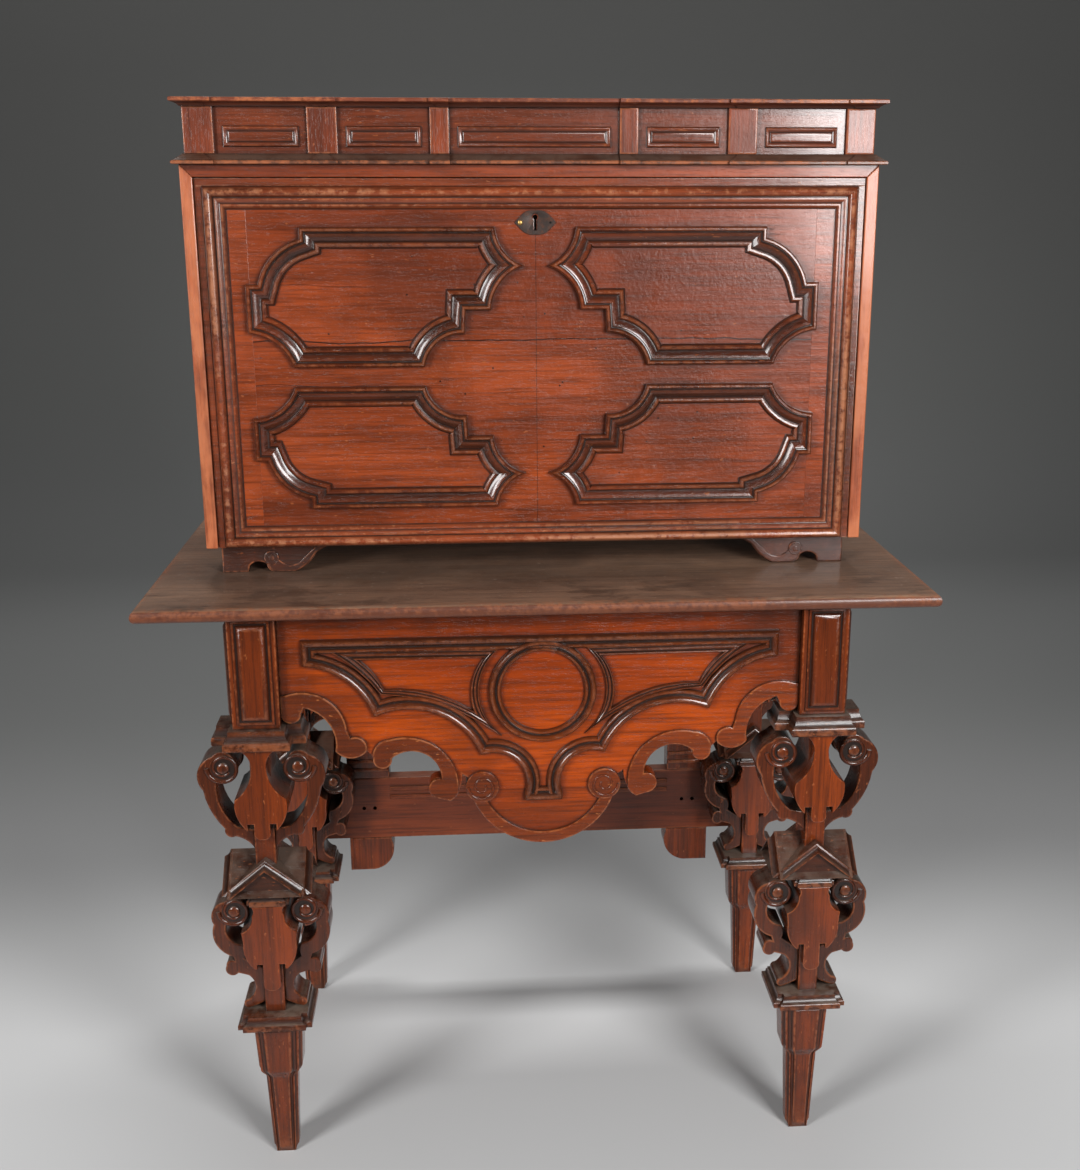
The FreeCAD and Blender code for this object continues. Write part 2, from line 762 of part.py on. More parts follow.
# Case boards; the sides and the top are mitred at the front corners
def build_case_sides():
    half = case_width / 2
    height = case_height
    steps = ((0, 1), (1, 1 - case_board / height), (1, 0))
    left = outline_plate((0, 0), steps, case_board, height, -half, case_bottom_z,
                         (case_front_y, case_back_y))
    return {"case_side_left": left, "case_side_right": mirrored_x(left)}


def build_case_floor():
    return box((-case_inner_x, case_inner_x), (fall_inner_y + knuckle_gap, case_back_y),
               (case_bottom_z, nest_bottom_z))


def build_case_back():
    return box((-case_inner_x, case_inner_x), (nest_back_y, case_back_y),
               (nest_bottom_z, nest_top_z))


def bolt_box(growth):
    half = bolt_width / 2 + growth
    middle = fall_inner_y - lock_depth / 2
    depth = bolt_thickness / 2 + growth
    top = fall_top_z - running_gap
    return box((-half, half), (middle - depth, middle + depth), (top - bolt_length, top + growth))


def keeper_box():
    middle = fall_inner_y - lock_depth / 2
    return box((-keeper_width / 2, keeper_width / 2),
               (middle - keeper_depth / 2, middle + keeper_depth / 2),
               (nest_top_z, nest_top_z + keeper_thickness))


def bolt_way():
    return moved(bolt_box(running_gap * 2), z=bolt_throw)


def build_case_top():
    half = case_width / 2
    inner_share = case_inner_x / half
    top = symmetric_plate((0, 1), ((1, 1), (inner_share, 0), (0, 0)), half, case_board, 0,
                          nest_top_z, (case_front_y, case_back_y))
    return top.cut(keeper_box()).cut(bolt_way())


def build_lock_keeper():
    return keeper_box().cut(bolt_way())


# Outline of a bracket foot from its outer corner: the block, a nick, the scroll's
# lobe and the rising tail
bracket_foot_shares = (
    (0.0, 1.0), (1.0, 1.0), (1.0, 0.92), (0.84, 0.84, 0.74, 0.62), (0.66, 0.22, 0.57, 0.0),
    (0.42, 0.0), (0.36, 0.08, 0.345, 0.24), (0.27, 0.34, 0.21, 0.20), (0.20, 0.0))


def build_bracket_feet():
    outer = case_width / 2 - bracket_foot_inset
    front_y = (foot_front_y, foot_front_y + bracket_foot_board)
    front = outline_plate((0, 0), bracket_foot_shares, bracket_foot_width, case_foot_height,
                          -outer, stand_height, front_y)
    side = outline_plate((0, 0), bracket_foot_shares, bracket_foot_return, case_foot_height,
                         front_y[1], stand_height, (outer - bracket_foot_board, outer))
    side = side.rotated(Vector(0, 0, 0), Vector(0, 0, 1), 90)
    left = Part.makeCompound([front, side])
    rear = block_at(-outer + rear_foot_size / 2, case_back_y - rear_foot_size / 2,
                    rear_foot_size, rear_foot_size, (stand_height, case_bottom_z))
    return {"bracket_foot_left": left, "bracket_foot_right": mirrored_x(left),
            "rear_feet": Part.makeCompound(both_sides(rear))}


# Frieze: where its pilasters stand, from the middle outwards
def frieze_bays():
    drawer_half = frieze_drawer_width / 2
    inner = (drawer_half, drawer_half + inner_pilaster_width)
    bay = (frieze_half_width - inner[1] - 2 * pilaster_width) / 2
    middle = (inner[1] + bay, inner[1] + bay + pilaster_width)
    outer = (frieze_half_width - pilaster_width, frieze_half_width)
    return {"pilasters": (inner, middle, outer),
            "fields": ((inner[1], middle[0]), (middle[1], outer[0]))}


def frieze_panel(x):
    margin = frieze_panel_margin
    low = frieze_bottom_z + frieze_panel_lift
    return frustum((x[0] + margin, x[1] - margin), (low, low + frieze_panel_height),
                   frieze_field_y, frieze_field_y - frieze_panel_relief, frieze_panel_bevel)


# The ledge and the cornice stand forward over each pilaster
def capped_strip(x, breaks, overhang, z):
    front = frieze_front_y - overhang
    pieces = [box(x, (front, frieze_inner_y), z)]
    for low, high in breaks:
        pieces.append(box((low, high), (front - cornice_break, front), z))
    return joined(pieces)


def side_return(overhang, z):
    outer = frieze_half_width + overhang
    return box((frieze_half_width - frieze_board, outer), (frieze_inner_y, case_back_y), z)


def ledge_z():
    return (case_top_z, frieze_bottom_z)


def cornice_z():
    return (frieze_top_z, frieze_top_z + cornice_height)


def build_frieze():
    bays = frieze_bays()
    field_z = (frieze_bottom_z, frieze_top_z)
    drawer_half = frieze_drawer_width / 2
    right = [box((drawer_half, frieze_half_width), (frieze_field_y, frieze_inner_y), field_z)]
    right += [box(x, (frieze_front_y, frieze_field_y), field_z) for x in bays["pilasters"]]
    right += [frieze_panel(x) for x in bays["fields"]]
    front = joined(right)
    nodes = {"frieze_front_right": front, "frieze_front_left": mirrored_x(front)}
    for name, overhang, z in (("ledge_moulding", ledge_overhang, ledge_z()),
                              ("cornice_moulding", cornice_overhang, cornice_z())):
        run = (drawer_half, frieze_half_width + overhang)
        breaks = list(bays["pilasters"][:2])
        breaks.append((bays["pilasters"][2][0], run[1]))
        piece = joined([capped_strip(run, breaks, overhang, z), side_return(overhang, z)])
        nodes[name] = Part.makeCompound(both_sides(piece))
    side = box((frieze_half_width - frieze_board, frieze_half_width),
               (frieze_inner_y, case_back_y), field_z)
    inner_x = frieze_half_width - frieze_board
    back = box((-inner_x, inner_x), (case_back_y - frieze_board, case_back_y),
               (case_top_z, frieze_top_z))
    guide = box((drawer_half, drawer_half + frieze_guide_width),
                (frieze_inner_y, frieze_inner_y + frieze_drawer_length),
                (case_top_z, frieze_bottom_z))
    nodes["frieze_carcase"] = Part.makeCompound(both_sides(side) + [back] + both_sides(guide))
    nodes["frieze_top"] = box((-inner_x, inner_x), (frieze_inner_y, case_back_y), cornice_z())
    return nodes


# The drawer front carries its own lengths of ledge and cornice
def build_frieze_drawer():
    half = frieze_drawer_width / 2 - running_gap
    span = (-half, half)
    low = case_top_z + running_gap
    front = joined([
        box(span, (frieze_field_y, frieze_inner_y), (frieze_bottom_z, frieze_top_z)),
        capped_strip(span, (), ledge_overhang, (low, frieze_bottom_z)),
        capped_strip(span, (), cornice_overhang, cornice_z()),
        frieze_panel(span)])
    tray_half = half - drawer_side_gap
    tray = tray_boards((-tray_half, tray_half), (frieze_inner_y, frieze_inner_y + frieze_drawer_length),
                       (low, frieze_top_z - drawer_top_gap))
    return {"frieze_drawer_front": front, "frieze_drawer_box": Part.makeCompound(tray)}


# Two sides, a back and a floor
def tray_boards(x, y, z):
    inner_x = (x[0] + drawer_wall, x[1] - drawer_wall)
    return [box((x[0], inner_x[0]), y, z), box((inner_x[1], x[1]), y, z),
            box(inner_x, (y[1] - drawer_wall, y[1]), z),
            box(inner_x, (y[0], y[1] - drawer_wall), (z[0], z[0] + drawer_floor))]


# Fall front: a board between two clamps, tongued together
def clamp_tongue():
    middle = fall_face_y + fall_thickness / 2
    inner = fall_half_width - fall_clamp_width
    half = clamp_tongue_thickness / 2
    return box((inner, inner + clamp_tongue_depth), (middle - half, middle + half),
               (case_bottom_z, fall_top_z))


def lock_pocket():
    return box((-lock_width / 2, lock_width / 2), (fall_inner_y - lock_depth, fall_inner_y),
               (fall_top_z - lock_height, fall_top_z))


def keyhole(depth_from, depth_to):
    length = depth_to - depth_from
    at = Vector(0, depth_from, keyhole_z)
    slot = box((-keyhole_slot_width / 2, keyhole_slot_width / 2), (depth_from, depth_to),
               (keyhole_z - keyhole_slot_length, keyhole_z))
    return cylinder(keyhole_radius, length, at, Vector(0, 1, 0)).fuse(slot)


def build_fall_board():
    inner = fall_half_width - fall_clamp_width
    board = box((-inner, inner), (fall_face_y, fall_inner_y), (case_bottom_z, fall_top_z))
    board = joined([board] + both_sides(clamp_tongue()))
    return board.cut(lock_pocket()).cut(keyhole(fall_face_y, fall_inner_y))


def build_fall_clamps():
    clamp = box((fall_half_width - fall_clamp_width, fall_half_width),
                (fall_face_y, fall_inner_y), (case_bottom_z, fall_top_z))
    return Part.makeCompound(both_sides(clamp.cut(clamp_tongue())))


# Section of the frame round the fall: a torus outside, stepped fillets inside.
# A flat strip runs over its top and down both its sides
frame_section_shares = ((0, 0), (0, 0.55), (0.13, 0.95), (0.29, 0.95), (0.467, 0.50),
                        (0.733, 0.42), (1.0, 0.22), (1.0, 0))
frame_path_shares = ((1, 1), (1, 0), (-1, 0), (-1, 1))


def build_fall_frame():
    top = fall_top_z - fall_head_strip
    low = case_bottom_z
    outer = fall_half_width - fall_side_strip
    path = scaled_runs((-1, 1), frame_path_shares, outer, top - low, 0, low, fall_face_y)
    frame = moulding(path, frame_section_shares, fall_moulding_width, fall_moulding_height)
    y = (fall_face_y - fall_strip_relief, fall_face_y)
    head = box((-fall_half_width, fall_half_width), y, (top, fall_top_z))
    side = box((outer, fall_half_width), y, (low, top))
    return Part.makeCompound([frame, joined([head] + both_sides(side))])


# Left upper panel of the fall, in shares of its reach from the middle and its
# height; the lower panels are the same outline turned upside down
panel_start_share = (-0.810, 1.0)
panel_shares = (
    (-0.140, 1.0), (-0.106, 0.82, -0.039, 0.725), (-0.117, 0.62, -0.156, 0.408),
    (-0.244, 0.408), (-0.249, 0.239), (-0.345, 0.175, -0.392, 0.0), (-0.849, 0.0),
    (-0.891, 0.147, -1.0, 0.25), (-1.0, 0.60), (-0.958, 0.60), (-0.899, 0.815, -0.810, 0.92),
    (-0.810, 1.0))
panel_section_shares = ((0, 0), (0, 0.45), (0.32, 1.0), (0.70, 0.45), (1.0, 0.35), (1.0, 0))


def fall_panel(height, bottom):
    reach = fall_half_width - fall_side_strip - fall_moulding_width - panel_side_margin
    path = scaled_runs(panel_start_share, panel_shares, reach, height, 0, bottom, fall_face_y)
    return moulding(path, panel_section_shares, panel_moulding_width, panel_moulding_height)


def build_fall_panels():
    highest = fall_top_z - fall_head_strip - fall_moulding_width - panel_top_margin
    lower_bottom = case_bottom_z + fall_moulding_width + panel_bottom_margin
    upper_height = (highest - lower_bottom - panel_gap) * upper_panel_share
    lower_height = highest - lower_bottom - panel_gap - upper_height
    upper = fall_panel(upper_height, highest - upper_height)
    lower = fall_panel(lower_height, lower_bottom)
    middle = Vector(0, 0, lower_bottom + lower_height / 2)
    lower = lower.mirror(middle, Vector(0, 0, 1))
    return Part.makeCompound(both_sides(upper) + both_sides(lower))


# Iron plate round the keyhole, held by one round nail; its other hole is empty
def escutcheon_centre_z():
    return keyhole_z - keyhole_slot_length / 2 + keyhole_radius / 2


escutcheon_shares = ((0.42, 0.92, 0.66, 0.62), (1.0, 0.0), (0.66, -0.62),
                     (0.42, -0.92, 0.0, -1.0))
nail_place_share = 0.36
nail_head_shares = ((1.0, 0.0), (0.85, 0.5), (0.5, 0.86), (0.15, 1.0))


def nail_shank(side):
    foot = Vector(side * escutcheon_width * nail_place_share, fall_face_y, escutcheon_centre_z())
    return small_boss(straight_boss_shares, escutcheon_nail_radius / 2, escutcheon_thickness, foot)


def build_escutcheon():
    front = fall_face_y - escutcheon_thickness
    plate = symmetric_plate((0, 1), escutcheon_shares, escutcheon_width / 2,
                            escutcheon_height / 2, 0, escutcheon_centre_z(), (front, fall_face_y))
    return plate.cut(keyhole(front, fall_face_y)).cut(nail_shank(-1)).cut(nail_shank(1))


def build_escutcheon_nail():
    at = Vector(-escutcheon_width * nail_place_share, fall_face_y - escutcheon_thickness,
                escutcheon_centre_z())
    head = small_boss(nail_head_shares, escutcheon_nail_radius, escutcheon_nail_height, at)
    return head.fuse(nail_shank(-1)).removeSplitter()


def build_lock():
    case = lock_pocket().cut(bolt_way()).cut(bolt_box(running_gap))
    case = case.cut(keyhole(fall_inner_y - lock_depth, fall_inner_y - lock_depth / 2))
    return {"lock_case": case, "lock_bolt": bolt_box(0)}


# Butt hinges under the case floor: two outer knuckles on the case, the middle
# one on the fall
def hinge_rod(x, radius):
    return cylinder(radius, x[1] - x[0], Vector(x[0], hinge_axis_y, hinge_axis_z), Vector(1, 0, 0))


def knuckle(x):
    return faceted([[Vector(end, hinge_axis_y + u, hinge_axis_z + v)
                     for u, v in small_round(knuckle_radius)] for end in x])


def build_hinges():
    third = hinge_width / 3
    leaf_z = (case_bottom_z - hinge_leaf_thickness, case_bottom_z)
    bore_radius = hinge_pin_radius + hinge_pin_clearance
    nodes = {"hinge_case_leaves": [], "hinge_fall_leaves": [], "hinge_pins": []}
    for centre in (-hinge_centre_x, hinge_centre_x):
        whole = (centre - hinge_width / 2, centre + hinge_width / 2)
        middle = (centre - third / 2, centre + third / 2)
        outers = ((whole[0], middle[0] - hinge_end_gap), (middle[1] + hinge_end_gap, whole[1]))
        bore = hinge_rod(whole, bore_radius)
        clear = knuckle_radius + knuckle_gap
        case_leaf = [box(whole, (hinge_axis_y + clear, hinge_axis_y + hinge_leaf_depth), leaf_z)]
        for x in outers:
            case_leaf += [knuckle(x), box(x, (hinge_axis_y, hinge_axis_y + clear), leaf_z)]
        nodes["hinge_case_leaves"].append(joined(case_leaf).cut(bore))
        fall_leaf = [box(whole, (hinge_axis_y - hinge_leaf_depth, hinge_axis_y - clear), leaf_z),
                     box(middle, (hinge_axis_y - clear, hinge_axis_y), leaf_z),
                     knuckle(middle)]
        nodes["hinge_fall_leaves"].append(joined(fall_leaf).cut(bore))
        nodes["hinge_pins"].append(hinge_rod(whole, hinge_pin_radius))
    return {name: Part.makeCompound(shapes) for name, shapes in nodes.items()}


# Nest of drawers: two uprights make three columns
def nest_columns():
    inner = case_inner_x - side_column_width
    return (((-case_inner_x, -inner - nest_board), side_rows),
            ((-inner, inner), centre_rows),
            ((inner + nest_board, case_inner_x), side_rows))


def row_heights(rows):
    height = (nest_top_z - nest_bottom_z - (rows - 1) * nest_board) / rows
    return [(nest_bottom_z + row * (height + nest_board),
             nest_bottom_z + row * (height + nest_board) + height) for row in range(rows)]


def build_nest():
    columns = nest_columns()
    y = (nest_front_y, nest_back_y)
    uprights = [box((left[0][1], right[0][0]), y, (nest_bottom_z, nest_top_z))
                for left, right in zip(columns, columns[1:])]
    shelves = []
    for x, rows in columns:
        for cell in row_heights(rows)[:-1]:
            shelves.append(box(x, y, (cell[1], cell[1] + nest_board)))
    return {"nest_uprights": Part.makeCompound(uprights), "nest_shelves": Part.makeCompound(shelves)}


# Radius and length of each ring of a knob
knob_shares = ((0.5, 0.0), (0.4, 0.35), (1.0, 0.62), (0.8, 0.88), (0.35, 1.0))


def nest_drawer(x, z):
    span = (x[0] + drawer_side_gap, x[1] - drawer_side_gap)
    rise = (z[0] + running_gap, z[1] - drawer_top_gap)
    front_y = (nest_front_y, nest_front_y + drawer_front_board)
    field = drawer_panel_relief
    margin = drawer_panel_margin
    front = box(span, front_y, rise)
    recess = box((span[0] + margin, span[1] - margin), (front_y[0], front_y[0] + field),
                 (rise[0] + margin, rise[1] - margin))
    inner = (span[0] + 2 * margin, span[1] - 2 * margin)
    inner_z = (rise[0] + 2 * margin, rise[1] - 2 * margin)
    raised = frustum(inner, inner_z, front_y[0] + field, front_y[0], margin / 2)
    front = front.cut(recess).fuse(raised).removeSplitter()
    tray = tray_boards(span, (front_y[1], nest_back_y - running_gap), rise)
    knob_foot = Vector((span[0] + span[1]) / 2, nest_front_y, (rise[0] + rise[1]) / 2)
    knob = small_boss(knob_shares, knob_radius, knob_length, knob_foot)
    return Part.makeCompound([front, knob] + tray)


def build_drawers():
    nodes = {}
    for column, (x, rows) in zip(("left", "centre", "right"), nest_columns()):
        for row, z in enumerate(row_heights(rows)):
            nodes["drawer_" + column + "_" + str(row + 1)] = nest_drawer(x, z)
    return nodes


def build_all():
    nodes = {
        "table_top": build_table_top(),
        "front_apron": build_front_apron(),
        "apron_mouldings": build_apron_mouldings(),
        "side_aprons": build_side_aprons(),
        "rear_top_rail": build_rear_top_rail(),
        "rear_stretcher": build_rear_stretcher(),
        "rear_posts": build_rear_posts(),
        "rear_pegs": stretcher_pegs(),
        "case_bottom": build_case_floor(),
        "case_back": build_case_back(),
        "case_top": build_case_top(),
        "lock_keeper": build_lock_keeper(),
        "fall_board": build_fall_board(),
        "fall_clamps": build_fall_clamps(),
        "fall_frame_moulding": build_fall_frame(),
        "fall_panel_mouldings": build_fall_panels(),
        "escutcheon": build_escutcheon(),
        "escutcheon_nail": build_escutcheon_nail(),
    }
    for group in (build_legs(), build_case_sides(), build_bracket_feet(), build_frieze(),
                  build_frieze_drawer(), build_lock(), build_hinges(), build_nest(),
                  build_drawers()):
        nodes.update(group)
    return nodes


def main():
    os.makedirs("parts", exist_ok=True)
    nodes = build_all()
    for name, shape in sorted(nodes.items()):
        if not shape.isValid():
            print("not valid:", name)
        shape.exportStep("parts/" + name + ".step")
    print(len(nodes), "nodes,", sum(len(shape.Solids) for shape in nodes.values()), "solids")


main()
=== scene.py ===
import math
import bpy
import bmesh
from mathutils import Matrix, Vector


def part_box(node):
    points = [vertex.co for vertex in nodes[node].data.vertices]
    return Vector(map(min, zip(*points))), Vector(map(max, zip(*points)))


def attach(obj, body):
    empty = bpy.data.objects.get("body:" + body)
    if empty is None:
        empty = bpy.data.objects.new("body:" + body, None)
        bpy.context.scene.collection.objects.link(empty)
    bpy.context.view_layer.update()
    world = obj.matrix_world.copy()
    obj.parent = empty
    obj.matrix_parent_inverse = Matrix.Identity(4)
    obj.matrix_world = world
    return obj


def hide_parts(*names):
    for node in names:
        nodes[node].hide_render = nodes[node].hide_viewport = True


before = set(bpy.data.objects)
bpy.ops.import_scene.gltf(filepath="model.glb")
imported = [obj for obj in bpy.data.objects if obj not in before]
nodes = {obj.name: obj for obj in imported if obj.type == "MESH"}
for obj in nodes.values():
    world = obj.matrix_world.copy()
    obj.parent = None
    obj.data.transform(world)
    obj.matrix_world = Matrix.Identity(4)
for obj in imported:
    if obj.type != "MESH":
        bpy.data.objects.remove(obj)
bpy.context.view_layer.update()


class Socket:
    # one output of a node tree that can be added, multiplied and so on
    def __init__(self, finish, out):
        self.finish = finish
        self.out = out

    def math(self, operation, *terms):
        return self.finish.node("Math", {"operation": operation}, dict(enumerate(terms)))

    def above(self, low, high):
        # 0 below low, 1 above high, smooth between
        return self.finish.node("MapRange", {"interpolation_type": "SMOOTHSTEP"},
                                {"Value": self, "From Min": low, "From Max": high})

    def most(self, other):
        return self.math("MAXIMUM", self, other)

    def size(self):
        return self.math("ABSOLUTE", self)


def operator(operation, turned):
    return lambda one, other: one.math(operation, *((other, one) if turned else (one, other)))


for name, operation in (("add", "ADD"), ("sub", "SUBTRACT"), ("mul", "MULTIPLY"), ("truediv", "DIVIDE"),
                        ("pow", "POWER")):
    setattr(Socket, "__" + name + "__", operator(operation, False))
    setattr(Socket, "__r" + name + "__", operator(operation, True))


class Finish:
    def __init__(self, name):
        self.material = bpy.data.materials.new(name)
        self.material.use_nodes = True
        self.tree = self.material.node_tree
        self.tree.nodes.clear()
        self.place = self.node("TexCoord", out="Object")

    def node(self, kind, settings=None, sockets=None, out=0):
        made = self.tree.nodes.new("ShaderNode" + kind)
        for name, value in (settings or {}).items():
            setattr(made, name, value)
        for key, value in (sockets or {}).items():
            entry = made.inputs[key]
            if isinstance(value, Socket):
                self.tree.links.new(value.out, entry)
            else:
                entry.default_value = value
        return Socket(self, made.outputs[out])

    def blend(self, factor, first, second):
        # from the first to the second, each a socket or a colour as tint takes it
        sides = [tint(*side) if isinstance(side, tuple) else side for side in (first, second)]
        return self.node("Mix", {"data_type": "RGBA"}, {0: factor, 6: sides[0], 7: sides[1]}, out=2)

    def noise(self, scale, detail, offset, rough, warp=0):
        if not isinstance(scale, tuple):
            scale = (scale, scale, scale)
        vector = self.node("Mapping", None, {"Vector": self.place, "Scale": scale, "Location": offset})
        return self.node("TexNoise", None, {"Vector": vector, "Scale": 1, "Detail": detail,
                                            "Roughness": rough, "Distortion": warp})

    def crevice(self, reach):
        # 1 in open places, 0 deep in corners; it drives the painted shade
        return self.node("AmbientOcclusion", {"samples": 6}, {"Distance": reach}, out="AO")

    def mark(self, name):
        # a value that the mesh carries at its points
        return self.node("Attribute", {"attribute_name": name}, out="Fac")

    def axis(self, name, vector=None):
        return self.node("SeparateXYZ", None, {"Vector": vector or self.place}, out=name)

    def upward(self):
        return self.axis("Z", self.node("NewGeometry", out="Normal")).above(0.55, 0.95)

    def bump(self, height, strength, distance):
        return self.node("Bump", None, {"Height": height, "Strength": strength, "Distance": distance})

    def surface(self, sockets):
        shader = self.node("BsdfPrincipled", None, sockets)
        target = self.tree.nodes.new("ShaderNodeOutputMaterial")
        self.tree.links.new(shader.out, target.inputs["Surface"])
        return self.material


def tint(red, green, blue):
    # a colour as it shows on a screen, 0 to 255
    def linear(value):
        share = value / 255
        return share / 12.92 if share <= 0.04045 else ((share + 0.055) / 1.055) ** 2.4
    return (linear(red), linear(green), linear(blue), 1)


def wood(name, along, palette, gloss=0.3, polish=0.5, grimeAndShade=0.8, wearAndHighlight=0.5, dust=0,
         crackle=0.3, seed=0, bare=(158, 88, 50), marks=None):
    light, dark, streak = palette
    f = Finish(name)
    shift = (seed, seed * 1.7, seed * 0.6)

    def grain(lengthways, across, *rest):
        return f.noise(tuple(lengthways if axis == along else across for axis in "XYZ"), *rest)

    broad = grain(1.6, 7, 2, shift, 0.5)
    bands = grain(1.2, 42, 5, shift, 0.62, 0.5)
    middling = grain(5, 130, 4, (seed, 4, 2), 0.6, 0.25)
    fine = grain(11, 340, 4, shift, 0.6, 0.15)
    pores = grain(60, 1500, 2, shift, 0.5).above(0.58, 0.72)
    mottle = f.noise(14, 4, shift, 0.6)
    clouds = f.noise(4.5, 3, (2, seed, 7), 0.55, 0.4)
    # small pale nicks and rubbed specks
    nicks = grain(90, 260, 2, (seed, 8, 1), 0.5)
    colour = f.blend(broad.above(0.3, 0.7), dark, light)
    for factor, tone in (
            (bands.above(0.48, 0.72) * 0.5, streak), (middling.above(0.46, 0.7) * 0.5, streak),
            (fine.above(0.44, 0.7) * 0.55, streak), (pores * 0.5, (34, 17, 12)),
            (mottle.above(0.38, 0.78) * 0.38, dark), (clouds.above(0.5, 0.66) * 0.45, streak),
            (nicks.above(0.69, 0.73) * 0.55, bare)):
        colour = f.blend(factor, colour, tone)
    if marks is not None:
        colour = marks(f, colour)
    # bare, rubbed wood where the mesh is marked as an arris or a crest; it also paints the highlights along
    # arrises and crests
    patches = f.noise(95, 5, (seed, 2, 5), 0.7) * 0.6 + clouds * 0.4
    rubbedAndHighlit = (f.mark("arris") * patches.above(0.44, 0.58)) * wearAndHighlight
    colour = f.blend(rubbedAndHighlit, colour, bare)
    # old polish and dirt gather in the corners, and the same darkening paints the shade in corners, hollows
    # and round the mouldings
    near = 1 - f.crevice(0.016).above(0.3, 0.92)
    wide = 1 - f.crevice(0.06).above(0.35, 0.95)
    smears = f.noise(24, 4, (seed, 5, 9), 0.65).above(0.34, 0.62)
    grimeAndShadeMask = (near * 0.9).most(wide * smears * 0.75).most(f.mark("hollow")) * grimeAndShade
    colour = f.blend(grimeAndShadeMask, colour, (27, 16, 11))
    if dust:
        settled = f.upward() * f.noise(30, 4, (1, seed, 3), 0.6).above(0.3, 0.62)
        colour = f.blend(settled * dust, colour, (118, 102, 90))
    flecks = f.noise(190, 3, shift, 0.7) * clouds.above(0.35, 0.62)
    waves = f.noise(70, 3, (3, seed, 1), 0.6)
    height = fine * 0.35 + middling * 0.3 + flecks * crackle + waves * 0.8 - pores * 0.3
    return f.surface({"Base Color": colour, "Normal": f.bump(height, 0.34, 0.0016),
                      "Roughness": gloss + mottle * 0.2 + grimeAndShadeMask * 0.2 + rubbedAndHighlit * 0.25 - 0.06,
                      "Coat Weight": polish, "Coat Roughness": 0.14, "Specular IOR Level": 0.32})


def metal(name, colour, rust, rough, metallic, marks=None):
    f = Finish(name)
    patches = f.noise(160, 5, (0, 0, 0), 0.65)
    pits = f.noise(600, 3, (2, 0, 0), 0.6)
    base = f.blend(patches.above(0.45, 0.7) * 0.7, colour, rust)
    if marks is not None:
        base = marks(f, base)
    return f.surface({"Base Color": base, "Metallic": metallic, "Roughness": patches * 0.3 + rough,
                      "Normal": f.bump(pits, 0.35, 0.0004)})


def apronShadeAndTone(f, colour):
    # painted shade under the table's edge and towards both ends, and darker low down
    z = f.axis("Z")
    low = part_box("front_apron")[0][2]
    cloud = f.noise(9, 4, (8, 3, 1), 0.6).above(0.25, 0.65)
    colour = f.blend(f.axis("X").size().above(0.2, 0.33) * cloud * 0.62, colour, (64, 25, 8))
    colour = f.blend(z.above(0.79, 0.84) * 0.45, colour, (64, 27, 10))
    return f.blend((1 - z.above(low + 0.04, low + 0.11)) * 0.32, colour, (58, 34, 20))


def sideMarks(f, colour):
    # the front edges of the sides are rubbed to the bare wood
    patches = f.noise((30, 30, 9), 4, (1, 6, 2), 0.6).above(0.36, 0.6)
    return f.blend((1 - f.axis("Y").above(-0.1412, -0.14)) * patches * 0.6, colour, (196, 118, 78))


def topMarks(f, colour):
    # dark stains along the front, small pale specks, darker edges
    stains = f.noise((11, 22, 11), 5, (5, 2, 2), 0.62, 0.4).above(0.5, 0.64)
    colour = f.blend(stains * (1 - f.axis("Y").above(-0.24, -0.1)) * 0.55, colour, (46, 30, 23))
    specks = f.noise((150, 210, 150), 2, (9, 1, 4), 0.5).above(0.7, 0.74)
    colour = f.blend(specks * 0.6, colour, (176, 156, 140))
    return f.blend((1 - f.upward()) * 0.9, colour, (86, 42, 26))


def fallMarks(f, colour):
    # seams of the clamps, the joint down the middle, a long crack and two short ones
    x, z = f.axis("X"), f.axis("Z")
    sway = f.noise((5, 5, 1.2), 4, (3, 0, 0), 0.6) - 0.5
    black = (22, 11, 8)
    level = z + sway * 0.022
    within = 1 - x.size().above(0.388, 0.392)
    left = 1 - x.above(-0.24, -0.2)
    for across, place, width, share in (
            (x.size(), 0.392, 0.0012, 0.8), (x + sway * 0.004, 0, 0.0009, 0.55),
            (level, 1.187, 0.0014, within * 0.85), (level, 1.128, 0.001, left * 0.6),
            (level, 1.262, 0.0009, left * 0.5)):
        line = 1 - (across - place).size().above(width * 0.35, width)
        colour = f.blend(line * share, colour, black)
    # worm holes, only in some parts
    holes = f.node("TexVoronoi", None, {"Vector": f.place, "Scale": 46, "Randomness": 1})
    near = f.noise(3, 2, (6, 0, 0), 0.5).above(0.52, 0.62)
    return f.blend((1 - holes.above(0.05, 0.075)) * near * 0.9, colour, black)


def plateMarks(f, colour):
    # the empty nail hole at the right end
    across, up = f.axis("X") - 0.0202, f.axis("Z") - sum(corner[2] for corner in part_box("escutcheon")) / 2
    far = (across * across + up * up) ** 0.5
    return f.blend(1 - far.above(0.0012, 0.0019), colour, (14, 9, 7))


# light, dark and streak
redBrown = ((158, 70, 32), (120, 50, 22), (60, 25, 12))
dimRed = ((138, 66, 38), (104, 48, 28), (56, 27, 17))
sideRed = ((176, 92, 56), (146, 70, 40), (84, 38, 20))
orangeBrown = ((176, 70, 6), (134, 48, 4), (66, 24, 5))
orangeDark = ((118, 52, 18), (86, 38, 14), (46, 22, 12))
bandBrown = ((134, 56, 18), (98, 41, 14), (52, 24, 12))
legBrown = ((140, 58, 14), (98, 39, 10), (42, 18, 7))
darkBrown = ((106, 44, 14), (70, 29, 10), (32, 15, 7))
legTrimBrown = ((92, 43, 22), (62, 30, 16), (34, 18, 11))
mouldBrown = ((112, 50, 26), (76, 33, 18), (40, 19, 11))
frameBrown = ((146, 70, 40), (106, 49, 28), (56, 27, 17))
footBrown = ((98, 50, 32), (70, 35, 23), (42, 22, 15))
greyBrown = ((112, 70, 50), (82, 50, 36), (50, 30, 22))
drabBrown = ((156, 121, 97), (124, 94, 75), (84, 61, 48))
